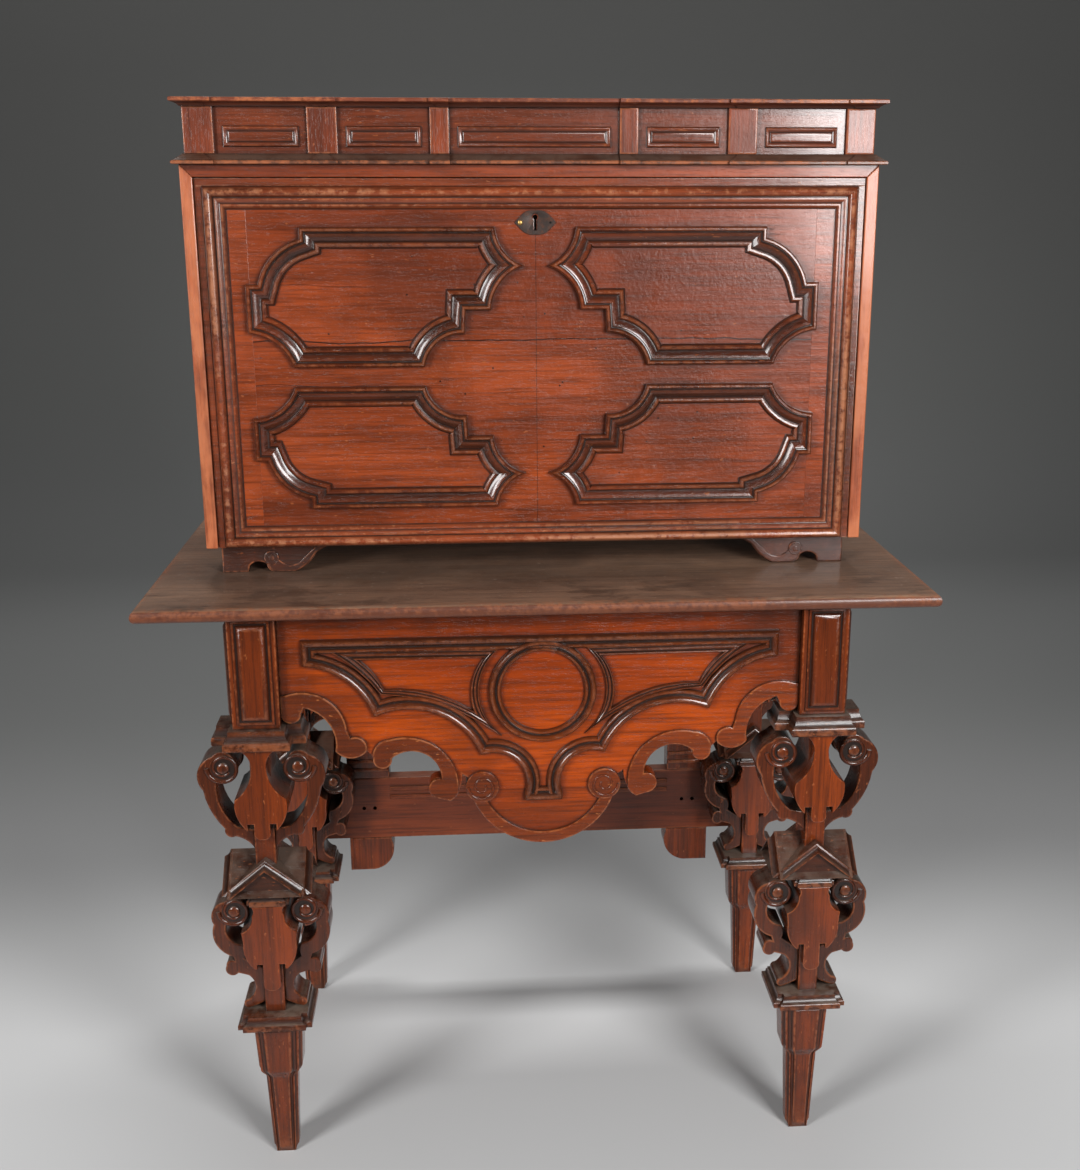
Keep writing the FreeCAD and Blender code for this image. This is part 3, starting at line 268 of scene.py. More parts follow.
panelBrown = ((106, 42, 11), (74, 29, 8), (38, 16, 6))
railBrown = ((138, 62, 28), (104, 44, 20), (56, 25, 13))
paleWood = ((150, 112, 78), (126, 90, 62), (96, 66, 46))

finishes = {
    "fall": wood("fall walnut", "X", redBrown, gloss=0.24, polish=0.55, crackle=1, seed=1, marks=fallMarks),
    "fallClamp": wood("fall clamp walnut", "X", redBrown, gloss=0.24, crackle=1, seed=1.3),
    "caseAcross": wood("case walnut across", "X", redBrown, gloss=0.32, polish=0.4, grimeAndShade=0.75, seed=1),
    "caseUpright": wood("case walnut upright", "Z", redBrown, gloss=0.34, polish=0.4, grimeAndShade=0.6, wearAndHighlight=0.9,
                        seed=2),
    "caseSide": wood("case side walnut", "Z", sideRed, gloss=0.38, polish=0.4, grimeAndShade=0.5, seed=3,
                     marks=sideMarks),
    "frieze": wood("frieze walnut", "X", dimRed, gloss=0.22, polish=0.8, grimeAndShade=0.9, wearAndHighlight=0.4, crackle=1,
                   seed=11),
    "cornice": wood("cornice", "X", dimRed, gloss=0.4, polish=0.3, wearAndHighlight=1, dust=0.5, seed=12),
    "ledge": wood("ledge", "X", greyBrown, gloss=0.36, polish=0.3, grimeAndShade=0.7, wearAndHighlight=0.8, dust=0.3, seed=13),
    "caseFoot": wood("bracket foot walnut", "X", footBrown, gloss=0.32, polish=0.4, grimeAndShade=0.85, wearAndHighlight=1,
                     seed=14),
    "moulding": wood("dark moulding", "X", mouldBrown, gloss=0.15, polish=0.8, grimeAndShade=0.95, wearAndHighlight=0.4,
                     crackle=2.2, seed=4),
    "frameMoulding": wood("frame moulding", "X", frameBrown, gloss=0.2, polish=0.6, grimeAndShade=0.9, wearAndHighlight=0.7,
                          crackle=1.4, seed=18, bare=(178, 116, 80)),
    "apron": wood("apron walnut", "X", orangeBrown, gloss=0.26, polish=0.4, grimeAndShade=0.9, seed=5,
                  marks=apronShadeAndTone),
    "apronMoulding": wood("apron moulding", "X", orangeDark, gloss=0.17, polish=0.7, grimeAndShade=0.95, wearAndHighlight=0.3,
                          crackle=0.8, seed=15, marks=apronShadeAndTone),
    "apronBand": wood("apron band walnut", "X", bandBrown, gloss=0.2, polish=0.55, grimeAndShade=0.95,
                      crackle=1.2, seed=20, bare=(176, 104, 56)),
    "leg": wood("leg walnut", "Z", legBrown, gloss=0.2, grimeAndShade=0.95, dust=0.35, crackle=1.6, seed=6,
                bare=(166, 92, 50)),
    "legPanel": wood("leg panel walnut", "Z", panelBrown, gloss=0.18, polish=0.6, grimeAndShade=0.95, wearAndHighlight=0.35,
                     crackle=1.6, seed=19, bare=(150, 84, 44)),
    "legScroll": wood("leg scroll walnut", "Z", darkBrown, gloss=0.18, polish=0.55, grimeAndShade=0.95, wearAndHighlight=0.6,
                      dust=0.6, crackle=1.4, seed=16, bare=(148, 82, 46)),
    "legTrim": wood("leg moulding walnut", "X", legTrimBrown, gloss=0.22, polish=0.4, grimeAndShade=0.95, wearAndHighlight=0.45,
                    dust=0.8, crackle=0.8, seed=17, bare=(160, 90, 52)),
    "rail": wood("rail walnut", "X", railBrown, gloss=0.36, polish=0.3, grimeAndShade=0.7, dust=0.3, seed=7),
    "top": wood("worn table top", "X", drabBrown, gloss=0.38, polish=0.25, grimeAndShade=0.3, wearAndHighlight=0.6, dust=0.2,
                seed=8, bare=(150, 86, 50), marks=topMarks),
    "inner": wood("secondary wood", "X", paleWood, gloss=0.6, polish=0, grimeAndShade=0.5, seed=9),
    "nest": wood("drawer walnut", "X", redBrown, gloss=0.36, polish=0.4, grimeAndShade=0.7, seed=10),
    "iron": metal("old iron", (58, 48, 44), (86, 54, 40), 0.35, 0.75, plateMarks),
    "brass": metal("worn brass", (196, 160, 96), (120, 88, 48), 0.3, 0.9),
}
# the first start that a node's name has gives its finish
nodeFinish = (("case_side", "caseSide"), ("case_top", "caseAcross"), ("case_", "inner"),
    ("rear_feet", "inner"), ("bracket_foot", "caseFoot"), ("frieze_front", "frieze"),
    ("frieze_drawer_front", "frieze"), ("frieze_drawer", "inner"), ("frieze_", "caseAcross"),
    ("ledge", "ledge"), ("cornice", "cornice"), ("fall_board", "fall"), ("fall_clamps", "fallClamp"),
    ("fall_frame", "frameMoulding"), ("fall_panel", "moulding"), ("table_top", "top"),
    ("front_apron", "apron"), ("side_aprons", "rail"), ("apron_", "apronMoulding"), ("rear_p", "leg"),
    ("rear_", "rail"), ("nest", "nest"), ("drawer", "nest"), ("escutcheon_nail", "brass"),
    ("escutcheon", "iron"), ("lock", "iron"), ("hinge", "iron"), ("leg_scrolls", "legScroll"),
    ("leg_mouldings", "legTrim"), ("leg", "leg"))


def finishOf(node):
    return finishes[next(finish for start, finish in nodeFinish if node.startswith(start))]


for name, piece in nodes.items():
    piece.data.materials.clear()
    piece.data.materials.append(finishOf(name))
print("finishes on the frame's nodes")


def linked(name, data):
    made = bpy.data.objects.new(name, data)
    bpy.context.scene.collection.objects.link(made)
    return made


def kept(name, mesh, body, node=None, slot=None):
    # a finished piece under its body; when it stands for a node, the node's own mesh is hidden
    made = linked(name, mesh)
    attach(made, body)
    if node:
        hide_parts(node)
    return made


def smoothed(mesh, sharp, dist=None):
    tidy = bmesh.new()
    tidy.from_mesh(mesh)
    if dist:
        bmesh.ops.remove_doubles(tidy, verts=tidy.verts, dist=dist)
    bmesh.ops.recalc_face_normals(tidy, faces=tidy.faces)
    tidy.to_mesh(mesh)
    tidy.free()
    for face in mesh.polygons:
        face.use_smooth = True
    mesh.set_sharp_from_angle(angle=math.radians(sharp))


class Shape:
    # points with their marks (arris, hollow) and faces, gathered into one piece
    def __init__(self):
        self.points, self.marks, self.faces = [], [], []

    def ring(self, points, arris=0, hollow=0):
        start = len(self.points)
        self.points += points
        self.marks += [(arris, hollow)] * len(points)
        return list(range(start, start + len(points)))

    def loft(self, rings, ends=True, closed=True):
        # joins the rings in turn; with no ends the last meets the first
        for first, second in zip(rings, rings[1:] + ([] if ends else rings[:1])):
            count = len(first)
            for index in range(count if closed else count - 1):
                after = (index + 1) % count
                self.faces.append((first[index], first[after], second[after], second[index]))
        if ends:
            self.faces += [tuple(rings[0]), tuple(reversed(rings[-1]))]
        elif not closed:
            self.faces += [tuple(ring[0] for ring in rings), tuple(ring[-1] for ring in reversed(rings))]
        return self

    def add(self, other, place=None):
        start = len(self.points)
        if place is None:
            self.points += other.points
        else:
            self.points += [tuple(place @ Vector(point)) for point in other.points]
        self.marks += other.marks
        self.faces += [tuple(start + index for index in face) for face in other.faces]
        return self

    def piece(self, name, finish, node=None, body="stand_and_case", slot=None):
        mesh = bpy.data.meshes.new(name)
        mesh.from_pydata(self.points, [], self.faces)
        for index, mark in enumerate(("arris", "hollow")):
            layer = mesh.attributes.new(mark, "FLOAT", "POINT")
            layer.data.foreach_set("value", [marks[index] for marks in self.marks])
        mesh.materials.append(finishes[finish])
        smoothed(mesh, 32)
        return kept(name, mesh, body, node, slot)


def lofted(rings, ends=True, closed=True):
    # each ring: its points, then how much it is rubbed (with painted highlight) and how dirty it is (with
    # painted shade)
    shape = Shape()
    return shape.loft([shape.ring(*ring) for ring in rings], ends, closed)


def atDepth(points, y):
    return [(x, y, z) for x, z in points]


def circle(centre, radius, count):
    angles = [2 * math.pi * k / count for k in range(count)]
    return [(centre[0] + radius * math.cos(a), centre[1] + radius * math.sin(a)) for a in angles]


def rectangle(x, z, inset=0):
    return [(x[0] + inset, z[0] + inset), (x[1] - inset, z[0] + inset),
            (x[1] - inset, z[1] - inset), (x[0] + inset, z[1] - inset)]


def turnedRound(centre, levels, count):
    # round about an axis along Y: radius, y and the marks of each ring
    return lofted([(atDepth(circle(centre, radius, count), y), *marks) for radius, y, *marks in levels])


def unit(a, b):
    size = math.dist(a, b)
    return ((b[0] - a[0]) / size, (b[1] - a[1]) / size)


def arcPoints(start, through, end, turn=7):
    # the points of the arc after its start, in 2-D
    (ax, az), (bx, bz), (cx, cz) = start, through, end
    a, b, c = ax * ax + az * az, bx * bx + bz * bz, cx * cx + cz * cz
    d = 2 * (ax * (bz - cz) + bx * (cz - az) + cx * (az - bz))
    ux = (a * (bz - cz) + b * (cz - az) + c * (az - bz)) / d
    uz = (a * (cx - bx) + b * (ax - cx) + c * (bx - ax)) / d
    radius = math.hypot(ax - ux, az - uz)
    first = math.atan2(az - uz, ax - ux)
    middle = (math.atan2(bz - uz, bx - ux) - first) % (2 * math.pi)
    last = (math.atan2(cz - uz, cx - ux) - first) % (2 * math.pi)
    if middle > last:
        last -= 2 * math.pi
    count = max(3, math.ceil(abs(math.degrees(last)) / turn))
    return [(ux + radius * math.cos(first + last * step / count),
             uz + radius * math.sin(first + last * step / count)) for step in range(1, count + 1)]


def outlineRuns(start, steps, width, height, left=0, bottom=0):
    # steps in shares: two numbers run straight, four run through the first pair
    def place(u, v):
        return (left + u * width, bottom + v * height)

    here = place(*start)
    runs = []
    for step in steps:
        there = place(*step[-2:])
        if len(step) == 4:
            runs.append([here] + arcPoints(here, place(*step[:2]), there))
        else:
            runs.append([here, there])
        here = there
    return runs


def mirroredSteps(start, steps):
    ends = [start] + [step[-2:] for step in steps]
    back = [] if ends[-1][0] == 0 else [(-ends[-1][0], ends[-1][1])]
    for index in range(len(steps) - 1, -1, -1):
        end = (-ends[index][0], ends[index][1])
        step = steps[index]
        back.append((-step[0], step[1]) + end if len(step) == 4 else end)
    return back


def closedOutline(runs):
    points = [runs[0][0]] + [point for run in runs for point in run[1:]]
    if math.dist(points[0], points[-1]) < 1e-7:
        points.pop()
    kept = [point for index, point in enumerate(points) if math.dist(point, points[index - 1]) > 1e-6]
    area = sum(a[0] * b[1] - b[0] * a[1] for a, b in zip(kept, kept[1:] + kept[:1]))
    return kept if area > 0 else kept[::-1]


def outlineOf(start, steps, *sizes):
    return closedOutline(outlineRuns(start, steps, *sizes))


def wholeOutline(edge, *sizes):
    # the right half of an outline, from the middle of its top, and its mirror image
    return outlineOf((0, 1), list(edge) + mirroredSteps((0, 1), edge), *sizes)


def insetOutline(points, whole, rooms=None):
    # a counter-clockwise outline moved inwards, its corners mitred
    moved = []
    for index, (x, z) in enumerate(points):
        inset = min(whole, 0.3 * rooms[index]) if rooms else whole
        ax, az = unit(points[index - 1], (x, z))
        bx, bz = unit((x, z), points[(index + 1) % len(points)])
        sx, sz = -az - bz, ax + bx
        size = math.hypot(sx, sz)
        if size < 0.35:
            moved.append((x - bz * inset, z + bx * inset))
            continue
        sx, sz = sx / size, sz / size
        scale = inset * min(2, 1 / max(0.3, sz * bx - sx * bz))
        moved.append((x + sx * scale, z + sz * scale))
    return moved


def roomInside(points, furthest=0.02):
    # how far each corner can move inwards before it meets the other side
    count = len(points)
    rooms = []
    for index, (x, z) in enumerate(points):
        ax, az = unit(points[index - 1], (x, z))
        bx, bz = unit((x, z), points[(index + 1) % count])
        dx, dz = -az - bz, ax + bx
        size = math.hypot(dx, dz)
        if size < 0.5:
            rooms.append(0)
            continue
        dx, dz = dx / size, dz / size
        room = furthest
        for other in range(count):
            if other in (index, (index - 1) % count):
                continue
            px, pz = points[other]
            qx, qz = points[(other + 1) % count]
            ex, ez = qx - px, qz - pz
            cross = dx * ez - dz * ex
            if abs(cross) < 1e-12:
                continue
            along = ((px - x) * ez - (pz - z) * ex) / cross
            share = ((px - x) * dz - (pz - z) * dx) / cross
            if 1e-9 < along < room and -0.01 <= share <= 1.01:
                room = along
        rooms.append(room)
    for _ in range(2):
        for index in list(range(count)) + list(range(count))[::-1]:
            step = math.dist(points[index], points[index - 1])
            rooms[index] = min(rooms[index], rooms[index - 1] + step)
            rooms[index - 1] = min(rooms[index - 1], rooms[index] + step)
    return rooms


def carvedPlate(points, front, back, bevel=0.0014, fade=0.0022, roundBack=True):
    # a plate cut to an outline in X and Z, its arrises eased
    rooms = roomInside(points)
    eased = ((bevel + fade, 0, 0), (bevel, 0, 1), (bevel * 0.3, bevel * 0.3, 1), (0, bevel, 1),
             (0, bevel + fade, 0))
    levels = [(inset, front + depth, arris) for inset, depth, arris in eased]
    behind = [(inset, back - depth, arris) for inset, depth, arris in eased[::-1]]
    levels += behind if roundBack else [(0, back, 0)]
    return lofted([(atDepth(insetOutline(points, inset, rooms), y), arris) for inset, y, arris in levels])


def easedBox(x, y, z, bevel=0.0012, fade=0.002):
    # a board with its arrises eased all round
    scale = min(1, 0.3 * min(side[1] - side[0] for side in (x, y, z)) / (bevel + fade))
    return carvedPlate(rectangle(x, z), *y, bevel * scale, fade * scale)


def sweepRun(points, profile, width, height, faceY, planes):
    # one stretch of moulding on a face that looks to -Y, cut at both ends; the
    # profile lies to the right of the path, seen from the front
    tangents = [unit(*pair) for pair in zip(points, points[1:])]
    sides = []
    for before, after in zip(tangents[:1] + tangents, tangents + tangents[-1:]):
        side = Vector((before[1] + after[1], -before[0] - after[0])).normalized()
        sides.append(side * (width / max(0.3, side.x * after[1] - side.y * after[0])))
    path = list(zip(points, sides))
    shape = lofted([([(x + side.x * u, faceY - v * height, z + side.y * u) for (x, z), side in path], *marks)
                    for u, v, *marks in profile], False, False)
    mesh = bmesh.new()
    layers = [mesh.verts.layers.float.new(mark) for mark in ("arris", "hollow")]
    verts = [mesh.verts.new(point) for point in shape.points]
    for vert, marks in zip(verts, shape.marks):
        for layer, value in zip(layers, marks):
            vert[layer] = value
    for face in shape.faces:
        mesh.faces.new([verts[index] for index in face])
    for (x, z), (nx, nz) in planes:
        bmesh.ops.bisect_plane(mesh, geom=mesh.verts[:] + mesh.edges[:] + mesh.faces[:], dist=1e-7,
                               plane_co=(x, 0, z), plane_no=(nx, 0, nz), clear_outer=True)
        rim = [edge for edge in mesh.edges if edge.is_boundary]
        if rim:
            bmesh.ops.holes_fill(mesh, edges=rim, sides=0)
    mesh.verts.index_update()
    cut = Shape()
    cut.points = [tuple(vert.co) for vert in mesh.verts]
    cut.marks = [tuple(vert[layer] for layer in layers) for vert in mesh.verts]
    cut.faces = [tuple(vert.index for vert in face.verts) for face in mesh.faces]
    mesh.free()
    return cut


def mitredMoulding(runs, profile, width, height, faceY):
    # a closed moulding, each run of it cut to its neighbours on the mitre
    shape = Shape()
    corners = []
    for run, following in zip(runs, runs[1:] + runs[:1]):
        arriving, leaving = unit(*run[-2:]), unit(*following[:2])
        corners.append((run[-1], unit((0, 0), (arriving[0] + leaving[0], arriving[1] + leaving[1]))))
    for index, run in enumerate(runs):
        # each end runs on past its corner, to be cut there
        lead, trail = [tuple(here + 2 * width * step for here, step in zip(end, unit(inside, end)))
                       for inside, end in ((run[1], run[0]), run[-2:])]
        points = [lead] + (run if len(run) > 2 else []) + [trail]
        start, (sx, sz) = corners[index - 1]
        shape.add(sweepRun(points, profile, width, height, faceY, ((start, (-sx, -sz)), corners[index])))
    return shape


def ringMoulding(centre, radius, profile, width, height, faceY, steps=96):
    return lofted([(atDepth(circle(centre, radius - u * width, steps), faceY - v * height), crest, dip)
                   for u, v, crest, dip in profile], False)


def resampled(run, count):
    # the same line cut into equal lengths
    lengths = [0]
    for first, second in zip(run, run[1:]):
        lengths.append(lengths[-1] + math.dist(first, second))
    points = []
    place = 0
    for step in range(count + 1):
        target = lengths[-1] * step / count
        while place < len(run) - 2 and lengths[place + 1] < target:
            place += 1
        share = (target - lengths[place]) / (lengths[place + 1] - lengths[place])
        points.append(tuple(a + (b - a) * share for a, b in zip(run[place], run[place + 1])))
    return points


def bandBetween(outerRuns, innerRuns, profile, height, faceY, steps=22):
    # a moulded band whose two edges are given, its corners mitred
    outer, inner = ([point for run in runs for point in resampled(run, steps)[:-1]]
                    for runs in (outerRuns, innerRuns))
    return lofted([([(ax + (bx - ax) * across, faceY - rise * height, az + (bz - az) * across)
                     for (ax, az), (bx, bz) in zip(outer, inner)], arris, hollow)
                   for across, rise, arris, hollow in profile], False)


def mirrored(shape):
    turned = Shape().add(shape, Matrix.Diagonal((-1, 1, 1, 1)))
    turned.faces = [face[::-1] for face in turned.faces]
    return turned


def both(shape):
    # a shape and its mirror image
    return Shape().add(shape).add(mirrored(shape))


def span(node, axis):
    low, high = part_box(node)
    return (low[axis], high[axis])


# share of the width and height, then how much it is rubbed (with painted highlight) and how dirty it is (with
# painted shade)
apronProfile = ((0, 0, 0, 1), (0, 0.36, 0, 0.8), (0.04, 0.66, 0.1, 0.2), (0.11, 0.88, 0.5, 0),
    (0.2, 1, 1, 0), (0.31, 0.97, 0.8, 0), (0.41, 0.8, 0.2, 0.1), (0.49, 0.56, 0, 0.6), (0.55, 0.43, 0, 1),
    (0.62, 0.42, 0, 1), (0.66, 0.54, 0, 0.5), (0.73, 0.67, 0.6, 0), (0.83, 0.68, 0.9, 0),
    (0.91, 0.54, 0.3, 0), (0.97, 0.3, 0, 0.5), (1, 0, 0, 1))
panelProfile = ((0, 0, 0, 1), (0, 0.6, 0, 0.6), (0.03, 0.82, 0.3, 0.2), (0.09, 0.97, 0.8, 0),
    (0.16, 0.98, 1, 0), (0.21, 0.86, 0.4, 0.1), (0.245, 0.64, 0, 1), (0.28, 0.62, 0, 0.9),
    (0.33, 0.72, 0.3, 0.1), (0.42, 0.66, 0.2, 0.1), (0.52, 0.5, 0, 0.3), (0.61, 0.35, 0, 0.6),
    (0.67, 0.28, 0, 1), (0.7, 0.36, 0, 0.5), (0.76, 0.52, 0.6, 0), (0.84, 0.55, 0.9, 0),
    (0.91, 0.44, 0.4, 0), (0.95, 0.22, 0, 0.7), (1, 0.12, 0, 0.8), (1, 0, 0, 1))
framePath = ((1, 1), (1, 0), (-1, 0), (-1, 1))
frameProfile = ((0, 0, 0, 1), (0, 0.3, 0, 0.9), (0.03, 0.48, 0, 0.5), (0.07, 0.7, 0.2, 0.1),
    (0.14, 0.9, 0.7, 0), (0.22, 0.99, 1, 0), (0.3, 0.96, 1, 0), (0.38, 0.82, 0.5, 0), (0.44, 0.6, 0.1, 0.2),
    (0.47, 0.46, 0, 1), (0.5, 0.46, 0, 0.9), (0.52, 0.56, 0.4, 0.1), (0.58, 0.58, 0.4, 0),
    (0.66, 0.48, 0.1, 0.1), (0.72, 0.36, 0, 0.7), (0.75, 0.34, 0, 0.8), (0.78, 0.4, 0.5, 0),
    (0.85, 0.4, 0.5, 0), (0.91, 0.26, 0.1, 0.2), (0.96, 0.1, 0, 0.7), (1, 0.04, 0, 1), (1, 0, 0, 1))


def spiralTree():
    # a rounded ridge that coils in towards the eye, set on every point it is given
    tree = bpy.data.node_groups.new("voluteRidge", "GeometryNodeTree")
    tree.is_modifier = True
    for name, kind in (("Geometry", "Geometry"), ("Outer Radius", "Float"), ("Inner Radius", "Float"),
                       ("Turns", "Float"), ("Ridge", "Float"), ("Material", "Material")):
        tree.interface.new_socket(name, in_out="INPUT", socket_type="NodeSocket" + kind)
    tree.interface.new_socket("Geometry", in_out="OUTPUT", socket_type="NodeSocketGeometry")
    made = {}
    for name, kind, values in (
            ("source", "NodeGroupInput", {}), ("along", "GeometryNodeSplineParameter", {}),
            ("spiral", "GeometryNodeCurveSpiral", {"Resolution": 34, "Height": 0}),
            ("width", "ShaderNodeMapRange", {"To Min": 1, "To Max": 0.62}),
            ("taper", "GeometryNodeSetCurveRadius", {}),
            ("profile", "GeometryNodeCurvePrimitiveCircle", {"Resolution": 10}),
            ("sweep", "GeometryNodeCurveToMesh", {"Fill Caps": True}),
            ("size", "GeometryNodeInputNamedAttribute", {"Name": "size"}),
            ("spread", "GeometryNodeInstanceOnPoints", {"Rotation": (math.pi / 2, 0, 0)}),
            ("real", "GeometryNodeRealizeInstances", {}), ("cover", "GeometryNodeSetMaterial", {}),
            ("target", "NodeGroupOutput", {})):
        made[name] = tree.nodes.new(kind)
        if name == "size":
            made[name].data_type = "FLOAT_VECTOR"
        for key, value in values.items():
            made[name].inputs[key].default_value = value
    for first, out, second, entry in (
            ("source", "Turns", "spiral", "Rotations"), ("source", "Outer Radius", "spiral", "Start Radius"),
            ("source", "Inner Radius", "spiral", "End Radius"), ("along", "Factor", "width", "Value"),
            ("spiral", "Curve", "taper", "Curve"), ("width", "Result", "taper", "Radius"),
            ("source", "Ridge", "profile", "Radius"), ("taper", "Curve", "sweep", "Curve"),
            ("profile", "Curve", "sweep", "Profile Curve"), ("width", "Result", "sweep", "Scale"),
            ("source", "Geometry", "spread", "Points"), ("sweep", "Mesh", "spread", "Instance"),
            ("size", "Attribute", "spread", "Scale"), ("spread", "Instances", "real", "Geometry"),
            ("real", "Geometry", "cover", "Geometry"), ("source", "Material", "cover", "Material"),
            ("cover", "Geometry", "target", "Geometry")):
        tree.links.new(made[first].outputs[out], made[second].inputs[entry])
    return tree


def volutes(name, places, coil, finish, slot):
    # run the tree on loose points (x, y, z and the hand), keep a plain mesh
    mesh = bpy.data.meshes.new(name + "Points")
    mesh.from_pydata([place[:3] for place in places], [], [])
    layer = mesh.attributes.new("size", "FLOAT_VECTOR", "POINT")
    layer.data.foreach_set("vector", [part for place in places for part in (place[3], 1, 1)])
    seedling = linked(name + "Points", mesh)
    modifier = seedling.modifiers.new("grow", "NODES")
    modifier.node_group = tree = spiralTree()
    values = dict(coil, Material=finishes[finish])
    for item in tree.interface.items_tree:
        if item.in_out == "INPUT" and item.name in values:
            modifier[item.identifier] = values[item.name]
    graph = bpy.context.evaluated_depsgraph_get()
    made = bpy.data.meshes.new_from_object(seedling.evaluated_get(graph), depsgraph=graph)
    bpy.data.objects.remove(seedling)
    smoothed(made, 50, 1e-6)
    made.name = name
    return kept(name, made, "stand_and_case", slot=slot)


# how far a piece reaches into the one behind it
overlap = 0.001
fall = {"mouldingWidth": 0.03, "headStrip": 0.01, "sideStrip": 0.009, "sideMargin": 0.019,
    "topMargin": 0.022, "bottomMargin": 0.024, "gap": 0.026, "upperShare": 0.5227, "panelWidth": 0.028,
    "panelHeight": 0.011, "frameHeight": 0.012, "stripRelief": 0.004, "stripEase": 0.0008}
panelStart = (-0.81, 1)
panelSteps = ((-0.14, 1), (-0.106, 0.82, -0.039, 0.725), (-0.117, 0.62, -0.156, 0.408), (-0.244, 0.408),
    (-0.249, 0.239), (-0.345, 0.175, -0.392, 0), (-0.849, 0), (-0.891, 0.147, -1, 0.25), (-1, 0.6),
    (-0.958, 0.6), (-0.899, 0.815, -0.81, 0.92), (-0.81, 1))


def makeFall():
    faceY = span("fall_board", 1)[0]
    bottom, top = span("fall_board", 2)
    half = span("fall_clamps", 0)[1]
    wide = fall["mouldingWidth"]
    frameTop = top - fall["headStrip"]
    inner = half - fall["sideStrip"]
    strips = (faceY - fall["stripRelief"], faceY)
    border = mitredMoulding(outlineRuns((-1, 1), framePath, inner, frameTop - bottom, 0, bottom),
                            frameProfile, wide, fall["frameHeight"], faceY)
    border.add(easedBox((-half, half), strips, (frameTop, top), fall["stripEase"]))
    border.add(both(easedBox((inner, half), strips, (bottom, frameTop), fall["stripEase"])))
    border.piece("fallFrame", "frameMoulding", "fall_frame_moulding", "fall")
    highest = frameTop - wide - fall["topMargin"]
    lowest = bottom + wide + fall["bottomMargin"]
    reach = inner - wide - fall["sideMargin"]
    height = highest - lowest - fall["gap"]
    upper = height * fall["upperShare"]
    lower = height - upper
    # the lower panel is the upper one's outline turned upside down, run the other way
    above = outlineRuns(panelStart, panelSteps, reach, upper, 0, highest - upper)
    below = outlineRuns(panelStart, panelSteps, reach, -lower, 0, lowest + lower)
    panels = Shape()
    for runs in (above, [run[::-1] for run in below[::-1]]):
        panels.add(both(mitredMoulding(runs, panelProfile, fall["panelWidth"], fall["panelHeight"], faceY)))
    panels.piece("panelMouldings", "moulding", "fall_panel_mouldings", "fall")
    print("fall front's mouldings")


makeFall()


apron = {"mouldingWidth": 0.02, "mouldingHeight": 0.009, "spandrelHeight": 0.006, "medallionDrop": 0.119,
    "medallionRadius": 0.074, "ringWidth": 0.017, "bandRelief": 0.005, "lobeRadius": 0.104,
    "lobeBand": 0.017, "spiralRadius": 0.023, "thickness": 0.024, "bandEase": (0.0013, 0.0016),
    "boardEase": 0.0012, "discLift": 0.0004, "lobeRise": 11, "lobeSteps": 48}
spiralPlace = (0.239, 0.252)
apronCoil = {"Outer Radius": 0.0195, "Inner Radius": 0.0045, "Turns": 1.6, "Ridge": 0.0019}
apronEdge = ((1, 1), (1, 0.574), (0.963, 0.545, 0.924, 0.586), (0.913, 0.609), (0.84, 0.565, 0.801, 0.423),
    (0.744, 0.391, 0.683, 0.417), (0.657, 0.391), (0.621, 0.343, 0.586, 0.386),
    (0.478, 0.409, 0.397, 0.293), (0.447, 0.258, 0.416, 0.209), (0.365, 0.194),
    (0.331, 0.235, 0.315, 0.304), (0.292, 0.287), (0.208, 0.09, 0, 0))
outerBand = ((1, 0.661), ((0.978, 0.664), (0.846, 0.655, 0.753, 0.513), (0.742, 0.478),
    (0.685, 0.458, 0.683, 0.417), (0.744, 0.391, 0.801, 0.423), (0.84, 0.565, 0.913, 0.609), (0.924, 0.586),
    (0.963, 0.545, 1, 0.574), (1, 0.661)))
innerBand = ((0.66, 0.394), ((0.66, 0.4), (0.64, 0.446, 0.593, 0.467), (0.421, 0.438, 0.331, 0.27),
    (0.331, 0.235), (0.343, 0.213, 0.365, 0.194), (0.416, 0.209), (0.447, 0.258, 0.397, 0.293),
    (0.478, 0.409, 0.586, 0.386), (0.621, 0.343, 0.657, 0.391), (0.66, 0.394)))
mainPath = ((0.913, 0.887), (0.913, 0.78), (0.758, 0.722, 0.649, 0.562), (0.421, 0.574, 0.242, 0.388),
    (0.118, 0.371, 0.076, 0.22), (0.076, 0.188))
spandrelOuter = ((0.165, 0.838), ((0.817, 0.846), (0.706, 0.759, 0.619, 0.656),
    (0.386, 0.604, 0.159, 0.467), (0.244, 0.67, 0.165, 0.838)))
spandrelInner = ((0.226, 0.8), ((0.696, 0.801), (0.646, 0.749, 0.607, 0.678), (0.385, 0.644, 0.271, 0.581),
    (0.277, 0.679, 0.226, 0.8)))
# across the band: share of its width, share of its height, rubbed with painted highlight, dirty with painted
# shade
spandrelProfile = ((0, 0, 0, 1), (0.03, 0.62, 0.4, 0.2), (0.1, 0.86, 1, 0), (0.2, 0.82, 0.4, 0),
    (0.27, 0.5, 0, 1), (0.33, 0.5, 0, 0.8), (0.42, 0.72, 0.3, 0.1), (0.52, 0.8, 0.6, 0),
    (0.62, 0.74, 0.3, 0.1), (0.7, 0.52, 0, 0.8), (0.75, 0.5, 0, 1), (0.82, 0.84, 0.5, 0),
    (0.91, 0.92, 1, 0), (0.97, 0.6, 0.3, 0.2), (1, 0, 0, 1))


def lobePoints(bottom):
    # the band round the bottom lobe, from one spiral to the other
    outer = apron["lobeRadius"]
    rise, steps = math.radians(apron["lobeRise"]), apron["lobeSteps"]
    angles = [math.pi + rise + (math.pi - 2 * rise) * k / steps for k in range(steps + 1)]
    return [(radius * math.cos(a), bottom + outer + radius * math.sin(a))
            for radius, way in ((outer, angles), (outer - apron["lobeBand"], angles[::-1])) for a in way]


